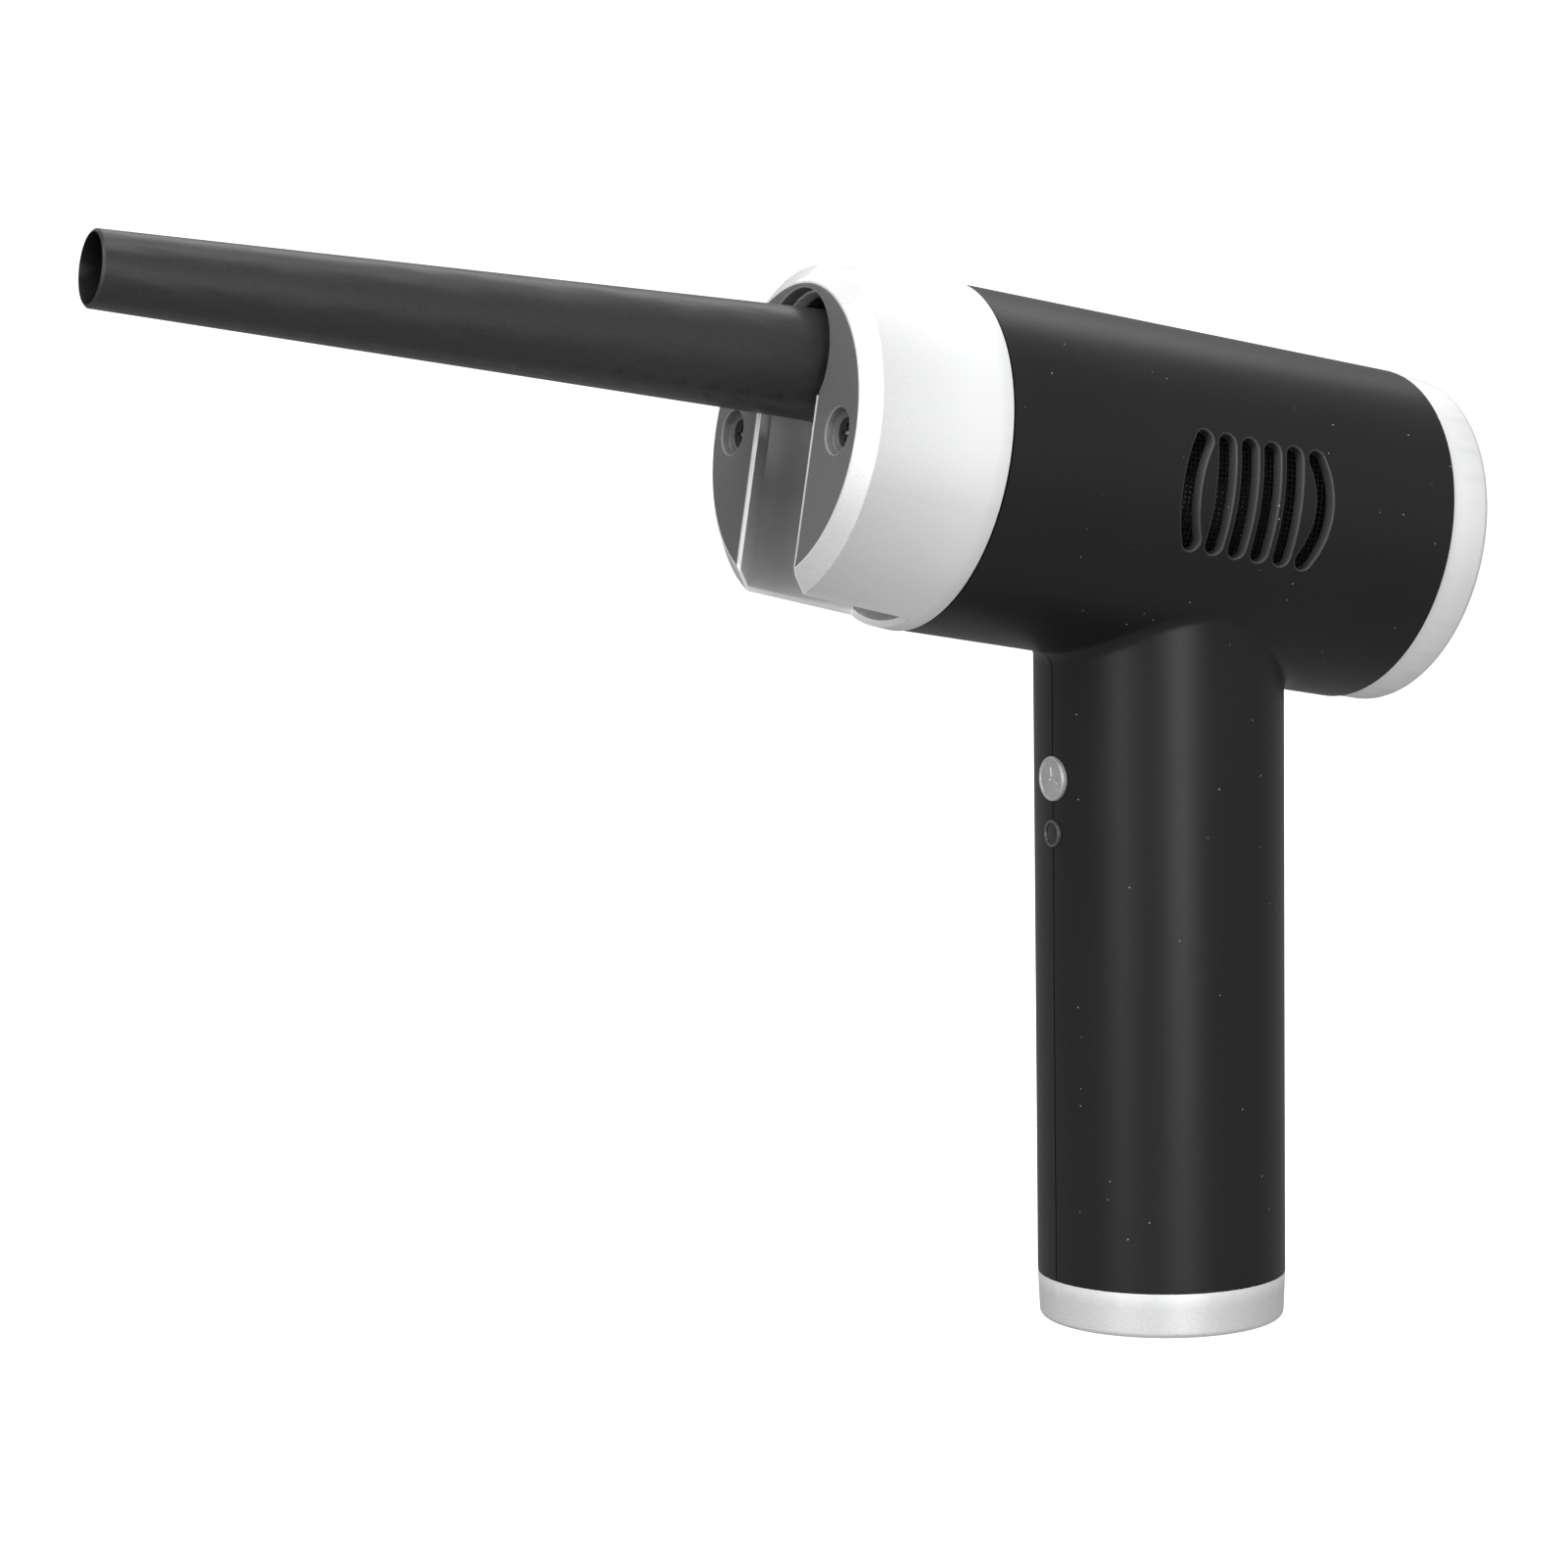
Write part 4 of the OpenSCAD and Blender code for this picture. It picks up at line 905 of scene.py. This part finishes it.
def woven_screen(side):
    """A woven screen on a cylinder's patch. Wires run both ways at one pitch. The distance of each from
    the barrel's axis is a cosine of the place along it, in step so that it goes over one wire and under
    the next."""
    wire, pitch, lift = 0.24, 0.92, 0.16
    radius = box_mm("intake_screen_left")[1][1] - wire - lift
    middle, reach = SHELL.slot_s, 16.5
    spread = 26.5 * np.pi / 180
    across, around = int(2 * reach / pitch), int(2 * spread * radius / pitch)
    across, around = across - across % 2, around - around % 2
    shape = Shape()

    def station(i, j, lift):
        """Centres, the barrel's outward direction and the direction round it, for places i pitches along
        the barrel and j round it."""
        s, angle = middle + (i - across / 2) * pitch, (j - around / 2) * pitch / radius
        out = np.stack([0 * angle, np.cos(angle), np.sin(angle)], -1)
        wave = lift * np.cos(np.pi * (i + j))
        centre = np.stack([s, 0 * s, 0 * s], -1) + (radius + wave)[..., None] * out
        tangent = np.stack([0 * angle, -np.sin(angle), np.cos(angle)], -1)
        return centre, out, tangent

    t, j = np.meshgrid(np.linspace(0, across, 2 * across + 1), np.arange(around + 1))
    centre, out, tangent = station(t, j, lift)
    tubes(shape, centre, tangent, out, wire)
    t, i = np.meshgrid(np.linspace(0, around, 2 * around + 1), np.arange(across + 1))
    centre, out, _ = station(i, t, -lift)
    tubes(shape, centre, np.broadcast_to([1.0, 0, 0], centre.shape), out, wire)
    shape.points = [barrel_to_row(p) * [1, side, 1] for p in shape.points]
    return shape


class BLOWER_OT_screens(bpy.types.Operator):
    """Builds the woven intake screens behind the slots"""

    bl_idname = "blower.screens"
    bl_label = "Intake screens"

    def execute(self, context):
        for side, name in ((1, "left"), (-1, "right")):
            node = f"intake_screen_{name}"
            settle(woven_screen(side), f"intake_mesh_{name}", "housing", "screen_black", node, sharp=80)
        return {"FINISHED"}


# ---- head ----


def head_profile(recess):
    """The band of the head as (s, radius) points: joint edge, drafted side and rounded chamfer edges;
    and, as a second row, the lip round the plate."""
    back, chamfer, face, front_r, ring_r = HEAD.back, HEAD.chamfer, HEAD.face, HEAD.front_r, HEAD.ring_r
    draft = math.degrees(math.atan2(HEAD_R - front_r, chamfer - back))
    slope = math.degrees(math.atan2(front_r - ring_r, face - chamfer))
    soft, crisp = 0.3, 0.2

    def corner(s, r, a, b, radius):
        """A rounded corner: an arc tangent to two slopes whose normals have angles a and b."""
        turn = math.radians(a - b) / 2
        middle = math.radians((a + b) / 2)
        reach = radius / math.cos(turn)
        centre = (s - reach * math.cos(middle), r - reach * math.sin(middle))
        return arc(centre, radius, a, b, 5)

    outer = np.vstack([
        corner(back, HEAD_R, 180, 90 - draft, crisp),
        corner(chamfer, front_r, 90 - draft, 90 - slope, soft),
        corner(face, ring_r, 90 - slope, 0, crisp),
    ])
    lip_r = PLATE_R + 0.1
    return outer, np.array([[face, lip_r], [face - recess, lip_r]])


class BLOWER_OT_head(bpy.types.Operator):
    """Builds the silver head: its band, the channel's walls and end, and the wall behind the plate"""

    bl_idname = "blower.head"
    bl_label = "Head"

    def execute(self, context):
        half, edge, stop = HEAD.channel, HEAD.channel_edge, HEAD.channel_back
        rim, face = HEAD.rim, HEAD.face
        top, wall, side_wall, recess = 6.0, 2.2, 1.7, 2.4
        deep = 9  # Points down each of the channel's walls
        shape = Shape()
        outer, lip = head_profile(recess)
        # Rear ring, all the way round: from the joint to the channel's end
        slope = (outer[5, 1] - outer[4, 1]) / (outer[5, 0] - outer[4, 0])
        at_stop = outer[4, 1] + slope * (stop - outer[4, 0])
        seat = BARREL_R - 1.5
        ring = np.vstack([[[outer[0, 0], seat]], outer[:5], [[stop, at_stop], [stop, seat]]])
        shape.grid(barrel_to_row(turned(ring, 256)), closed_rows=True, closed_columns=True)
        # Front band: each station is a horseshoe from one channel wall round to the other
        brow = face - edge
        fall = (outer[10, 1] - outer[9, 1]) / (outer[10, 0] - outer[9, 0])
        brows = [[s, outer[9, 1] + fall * (s - outer[9, 0])] for s in (brow - 0.1, brow)]
        stations = np.vstack([[[stop, at_stop]], outer[5:10], brows, outer[10:], lip])
        inner = np.array([[lip[-1, 0], lip[-1, 1] + 1.3], [stop, at_stop - wall]])

        def horseshoe(s, r, wall_y, cut, sunk):
            """Wall, chamfer, arc, chamfer, wall: (s, y, n) points of one station."""
            start = math.asin(min(1.0, (wall_y + cut) / r))
            turn = np.linspace(start, 2 * np.pi - start, 161)
            bend = np.stack([r * np.sin(turn), -r * np.cos(turn)], -1)
            low = -math.sqrt(r**2 - (wall_y + cut) ** 2) + sunk
            side = np.stack([np.full(deep, wall_y), low + (top - low) * np.linspace(1, 0, deep) ** 2], -1)
            flat = np.vstack([side, bend, (side * [-1, 1])[::-1]])
            return np.column_stack([np.full(len(flat), s), flat])

        rows = []
        for k, (s, r) in enumerate(stations):
            lipped = k >= len(stations) - len(lip)
            back_off = max(0.0, s - brow) / edge
            wall_y = half + rim if lipped else half + 0.55 * rim * back_off
            rows.append(horseshoe(s, r, wall_y, 0 if lipped else 0.5 * edge, 0 if lipped else edge))
        rows += [horseshoe(s, r, half + side_wall, 0, 0) for s, r in inner]
        # The channel's walls get painted shade, darkest at the top and lighter towards the open bottom, and its
        # edges are bright
        painted_shade = np.zeros((len(rows), rows[0].shape[0]))
        painted = slice(0, 7)  # Stations from the channel's end to the edge beside the plate
        painted_shade[painted, :deep - 1] = np.linspace(0.98, 0.58, deep - 1)
        painted_shade[painted, 1 - deep:] = np.linspace(0.58, 0.98, deep - 1)
        shape.grid(barrel_to_row(np.array(rows)), closed_rows=True, raw=painted_shade.ravel())
        # Each end of the horseshoes closes with a fan
        around = np.arange(len(rows))
        fan = np.stack([around, np.roll(around, -1), np.full(len(rows), len(rows))], -1)
        for end in (0, -1):
            cap = np.array([row[end] for row in rows])
            shape.add(barrel_to_row(np.vstack([cap, cap.mean(0)])), fan)
        # The channel's flat end, darkened all over with painted shade
        out, floor_r, ceiling = half + side_wall, seat + 0.4, 2.2
        spread = math.degrees(math.asin(out / floor_r))
        floor = arc((0, 0), floor_r, -90 - spread, -90 + spread, 24)
        top_line = np.linspace([out, ceiling], [-out, ceiling], 12)
        sides = np.linspace(floor[-1], top_line[0], 14)[1:-1]
        outline = np.vstack([floor, sides, top_line, (sides * [-1, 1])[::-1]])
        slab(shape, outline, [], stop + 0.02, stop - side_wall, 0.05, barrel_to_row, raw=0.75)
        # The wall behind the plate, with its keyhole
        slab(shape, keyhole_plate(HEAD_R - 4.2, half + 0.02, HEAD.arch_r - rim / 2), [],
             face - recess - 0.02, face - 4.6, 0.15, barrel_to_row)
        settle(shape, "head_casing", "housing", "satin_silver", "front_head")
        return {"FINISHED"}


def keyhole_plate(radius, half, arch):
    """A disc with a keyhole cut from its lower edge, anticlockwise: (y, n) points round the disc, up the
    channel's side, round the arch and down again."""
    start = math.degrees(math.asin(half / radius))
    disc = arc((0, 0), radius, -90 + start, 270 - start, 121)
    neck = math.degrees(math.asin((HEAD.neck_top - HEAD.arch_n) / arch))
    bend = arc((0, HEAD.arch_n), arch, 180 - neck, neck, 61)
    left = np.linspace(disc[-1], [-half, HEAD.neck_low], 18)[1:]
    right = (left * [-1, 1])[::-1]
    neck_left = np.linspace(left[-1], bend[0], 4)[1:-1]
    return np.vstack([disc, left, neck_left, bend, (neck_left * [-1, 1])[::-1], right])


class BLOWER_OT_plate(bpy.types.Operator):
    """Builds the grey face plate with its bevelled keyhole and its two screw wells"""

    bl_idname = "blower.plate"
    bl_label = "Face plate"

    def execute(self, context):
        face, thick = HEAD.face, HEAD.plate_t
        well, deep = HEAD.well_r, HEAD.well_depth
        shape = Shape()
        holes = []
        for side in (-1, 1):
            centre = (side * HEAD.well_y, 0)
            ring = lambda r: arc(centre, r, 0, 360, 49)[:-1]
            holes.append([
                (ring(well + 0.28), face), (ring(well + 0.08), face - 0.08), (ring(well), face - 0.28),
                (ring(well - 0.25), face - deep + 0.15), (ring(well - 0.4), face - deep),
                (ring(2.6), face - deep), (ring(2.5), face - deep - 0.12), (ring(2.5), face - thick),
            ])
        outline = keyhole_plate(PLATE_R, HEAD.channel + HEAD.rim + 0.05,
                                HEAD.arch_r)
        edge = np.where(np.hypot(*outline.T) > PLATE_R - 0.01, 0.1, 0.35)
        # The plate's edges and the wells' rims take a painted highlight
        slab(shape, outline, holes, face, face - thick, edge, barrel_to_row, 1.6, bright=1.0)
        settle(shape, "face_plate_cover", "housing", "plate_grey", "face_plate", sharp=25)
        return {"FINISHED"}


# ---- button and lens ----


def cap_shape(z, outer, height, count, raw=0.0):
    """A round cap on the grip's front, along +X: rings of (x, radius) points turned about its own axis,
    with a height added to the flat top. The last ring closes on the middle."""
    a = np.linspace(0, 2 * np.pi, count, endpoint=False)
    d, r = outer[:, :1], outer[:, 1:]
    points = np.stack([d + height(r * np.cos(a), r * np.sin(a)), r * np.cos(a), z + r * np.sin(a)], -1)
    shape = Shape()
    shape.grid(points, closed_columns=True, raw=np.repeat(np.broadcast_to(raw, len(outer)), count))
    return shape


def fan_mark(y, z, height):
    """Height of three short curved blades round the middle: each is the set of points nearer than its
    half-width to an arc, with a soft side."""
    root, tip, bend, half, taper, soft = 0.5, 1.95, 0.10, 0.33, 0.06, 0.16
    total = 0 * y
    for turn in (90, 210, 330):
        t = math.radians(turn)
        along = y * math.cos(t) + z * math.sin(t)
        across = -y * math.sin(t) + z * math.cos(t) - bend * (along - root) ** 2
        reach = np.clip(along, root, tip)
        gap = np.hypot(along - reach, across)
        width = half - taper * (reach - root)
        total = np.maximum(total, np.clip((width - gap) / soft, 0, 1) ** 0.8)
    return height * total


class BLOWER_OT_button(bpy.types.Operator):
    """Builds the power button with its fan mark, and the indicator lens with its rim"""

    bl_idname = "blower.button"
    bl_label = "Button and lens"

    def execute(self, context):
        back = box_mm("power_button")[0][0]
        r, top, mark_h = BUTTON.radius, GRIP_R + BUTTON.proud, BUTTON.mark
        flat_r = r - BUTTON.bevel
        flange, flange_t, soft, rings = 0.8, 0.9, 0.5, 44
        floor = top - mark_h - 0.04
        profile = np.vstack([
            [[back, 0.0], [back, r + flange], [back + flange_t, r + flange], [back + flange_t, r]],
            arc((top - soft, r - soft), soft, 90, 18, 7),
            [[top - 0.12, flat_r - 0.02], [floor, flat_r - 0.14]],
            np.column_stack([np.full(rings, floor), np.linspace(flat_r - 0.24, 0.0, rings)]),
        ])
        on_top = np.r_[np.zeros(len(profile) - rings), np.ones(rings)][:, None]
        mark = lambda y, up: on_top * (fan_mark(y, up, mark_h) * (np.hypot(y, up) < flat_r - 0.2))
        shape = cap_shape(SHELL.button_z, profile, mark, 144)
        settle(shape, "power_button_cap", "button", "button_silver", "power_button", sharp=50)
        lens_r = BUTTON.lens_r
        low, high = box_mm("indicator_lens")
        top, flange = high[0], 18.6
        inner_r, flange_r, behind = lens_r - 0.5, lens_r + 0.7, flange + flange_t
        outside = arc((top - 0.14, lens_r - 0.14), 0.14, 90, 0, 5)
        rim = np.vstack([outside, arc((top - 0.12, lens_r - 0.36), 0.12, 0, -90, 5)])
        dish = np.linspace(0.97, 0, 16)
        profile = np.vstack([
            [[low[0], 0.0], [low[0], inner_r], [flange, inner_r], [flange, flange_r],
             [behind, flange_r], [behind, lens_r]], rim,
            np.column_stack([top - 0.26 + 0.16 * (1 - dish**2), dish * inner_r]),
        ])
        # The rim's rings take a painted highlight; the flange and the dish take none
        bright = np.r_[np.zeros(6), np.ones(10), np.zeros(16)]
        shape = cap_shape(SHELL.lens_z, profile, lambda y, up: 0 * y, 96, bright)
        settle(shape, "indicator_window", "housing", "lens_black", "indicator_lens", sharp=50)
        return {"FINISHED"}


# ---- nozzle ----


class BLOWER_OT_nozzle(bpy.types.Operator):
    """Builds the nozzle from its CAD mesh, with the bore opened to a thin lip at the tip: the end ring of
    the bore moves outwards until it is the lip's width from the outside"""

    bl_idname = "blower.nozzle"
    bl_label = "Nozzle"

    def execute(self, context):
        mesh = NODES["nozzle_tube"].data
        points = np.empty(3 * len(mesh.vertices), np.float32)
        mesh.vertices.foreach_get("co", points)
        points = points.reshape(-1, 3).astype(float) / MM
        mesh.calc_loop_triangles()
        corners = np.empty(3 * len(mesh.loop_triangles), np.int32)
        mesh.loop_triangles.foreach_get("vertices", corners)
        pivot = np.array(JOINTS["nozzle_fold"]["pos_m"]) / MM
        rise = TILT - math.radians(context.scene.blower_button.droop)
        axis = np.array([math.cos(rise), 0, math.sin(rise)])
        along = (points - pivot) @ axis
        spoke = points - pivot - along[:, None] * axis
        radius = np.linalg.norm(spoke, axis=1)
        end = along > along.max() - 0.02
        outer = radius[end].max()
        bore = end & (radius < outer - 0.4)
        lip = outer - BUTTON.nozzle_lip
        grown = spoke * lip / np.maximum(radius, 1e-6)[:, None]
        points[bore] = (pivot + along[:, None] * axis + grown)[bore]
        shape = Shape()
        # The bore's points take painted shade, darker inside the tip
        shape.add(points, corners.reshape(-1, 3), raw=bore.astype(float))
        shading = {"sharp": 30, "weld": 0.003, "shade": "CORNER_ANGLE"}
        settle(shape, "nozzle_taper", "nozzle", "nozzle_grey", "nozzle_tube", **shading)
        return {"FINISHED"}


# ---- carried-over CAD nodes ----


class BLOWER_OT_finishes(bpy.types.Operator):
    """Makes every finish, and gives each CAD node the finish of its material slot"""

    bl_idname = "blower.finishes"
    bl_label = "Finishes"

    def execute(self, context):
        FINISHES.update(all_finishes())
        for row in frame["record"]["subparts"]:
            materials = NODES[row["node"]].data.materials
            materials.clear()
            materials.append(FINISHES[row["material_slot"]])
        return {"FINISHED"}


# ---- stage ----


AIM = Vector((75.712, 0, 99.835)) * MM  # What the camera and the lights look at
WORLD_LIGHT = 0.355
BOWL_GLOW = 0.85


def stage_bowl():
    """A pale round floor that curves up into a wall all round: a profile of straight, quarter circle and
    straight is turned about the object's middle. It shows to the camera and takes no part in the light
    on the object."""
    flat, bend, height = 2400, 1200, 3800
    curve = arc((flat, bend), bend, -90, 0, 25)
    line = np.vstack([[[60, 0], [900, 0]], curve, [[flat + bend, height]]])
    turn = np.linspace(0, 2 * np.pi, 97)[:-1]
    ring = lambda r, z: np.stack([70 + r * np.cos(turn), r * np.sin(turn), 0 * turn + z], -1)
    rows = np.array([ring(r, z) for r, z in line])
    mesh = bpy.data.meshes.new("bowl")
    numbers = np.arange(rows.shape[0] * rows.shape[1]).reshape(rows.shape[:2])
    faces = ring_faces(numbers)[:, ::-1].tolist() + [numbers[0].tolist()]
    mesh.from_pydata((rows.reshape(-1, 3) * MM).tolist(), [], faces)
    mesh.polygons.foreach_set("use_smooth", np.ones(len(mesh.polygons), bool))
    made = linked("bowl", mesh)
    paper = Finish("pale_paper", Emission_Strength=BOWL_GLOW)
    tooth = paper.noise(400, 3.0, 0.5)
    pale = tooth.colour((0.93, 0.93, 0.93), (0.97, 0.97, 0.97))
    paper.paint(Base_Color=pale, Emission_Color=pale, Roughness=0.75 + tooth * 0.1)
    mesh.materials.append(paper.material)
    made.visible_diffuse = made.visible_glossy = made.visible_shadow = False


def bearing(azimuth, elevation):
    """The direction from the object to a place at an angle round it and above the horizon."""
    a, e = math.radians(azimuth), math.radians(elevation)
    return Vector((math.sin(a) * math.cos(e), -math.cos(a) * math.cos(e), math.sin(e)))


def soft_light(name, azimuth, elevation, distance, size, power):
    """A rectangular area light that looks at the object's middle."""
    back = bearing(azimuth, elevation)
    data = bpy.data.lights.new(name, "AREA")
    data.shape, data.size, data.size_y, data.energy = "RECTANGLE", size[0], size[1], power
    lamp = linked(name, data)
    lamp.location = AIM + back * distance
    lamp.rotation_euler = back.to_track_quat("Z", "Y").to_euler()
    lamp.visible_camera = False


class BLOWER_OT_stage(bpy.types.Operator):
    """Makes the pale floor and backdrop, the soft lights, the world and the camera"""

    bl_idname = "blower.stage"
    bl_label = "Stage"

    def execute(self, context):
        s = context.scene.blower_stage
        stage_bowl()
        # Name, angle round from the camera, elevation, distance (m), size (m) and power (W)
        lights = (
            ("key", -30, 48, 1.6, (1.0, 0.9), 14.8),
            ("left_strip", -38, 6, 1.3, (0.38, 0.9), 4.2),
            ("right_strip", 18, 6, 1.3, (0.38, 0.9), 7.0),
            ("overhead", 0, 82, 1.4, (1.2, 0.8), 9.0),
            ("back_top", 180, 50, 1.5, (1.6, 0.6), 5.6),
            ("right_fill", 70, 12, 1.5, (0.8, 1.2), 0.6),
        )
        for name, azimuth, *rest in lights:
            soft_light(name, s.azimuth + azimuth, *rest)
        world = bpy.data.worlds.new("studio")
        world.use_nodes = True
        tint, strength = world.node_tree.nodes["Background"].inputs[:2]
        tint.default_value, strength.default_value = (1, 1, 1, 1), WORLD_LIGHT
        context.scene.world = world
        back, roll = bearing(s.azimuth, s.elevation), math.radians(s.roll)
        right = Vector((0, 0, 1)).cross(back).normalized()
        up = back.cross(right)
        across = math.cos(roll) * right + math.sin(roll) * up
        above = -math.sin(roll) * right + math.cos(roll) * up
        data = bpy.data.cameras.new("camera")
        data.lens, data.clip_start = s.lens, 0.01
        camera = linked("camera", data)
        turn = Matrix((across, above, back)).transposed().to_4x4()
        camera.matrix_world = Matrix.Translation(AIM + back * s.distance) @ turn
        context.scene.camera = camera
        context.scene.view_settings.view_transform = "Standard"
        return {"FINISHED"}


class BLOWER_PT_panel(bpy.types.Panel):
    """Lists the blower's sizes and colours, and a button for each piece"""

    bl_label = "Hand blower"
    bl_idname = "BLOWER_PT_panel"
    bl_space_type = "VIEW_3D"
    bl_region_type = "UI"
    bl_category = "Blower"

    def draw(self, context):
        for group in GROUPS:
            box = self.layout.box()
            box.label(text=group[1].__doc__)
            held = getattr(context.scene, group[0])
            for name in group[1].__annotations__:
                box.prop(held, name)
        for operator in OPERATORS:
            self.layout.operator(operator.bl_idname)


GROUPS = (
    ("blower_shell", ShellSizes),
    ("blower_head", HeadSizes),
    ("blower_button", ButtonSizes),
    ("blower_colours", FinishColours),
    ("blower_stage", StageSizes),
)
OPERATORS = (
    BLOWER_OT_finishes, BLOWER_OT_shells, BLOWER_OT_screens, BLOWER_OT_head, BLOWER_OT_plate,
    BLOWER_OT_button, BLOWER_OT_nozzle, BLOWER_OT_stage,
)


def register():
    for name, group in GROUPS:
        bpy.utils.register_class(group)
        setattr(bpy.types.Scene, name, PointerProperty(type=group))
    for made in (*OPERATORS, BLOWER_PT_panel):
        bpy.utils.register_class(made)


def unregister():
    for made in reversed((*OPERATORS, BLOWER_PT_panel)):
        bpy.utils.unregister_class(made)
    for name, group in reversed(GROUPS):
        delattr(bpy.types.Scene, name)
        bpy.utils.unregister_class(group)


def main():
    register()
    for made in OPERATORS:
        piece = made.bl_idname.split(".")[1]
        getattr(bpy.ops.blower, piece)()


if __name__ == "__main__":
    main()
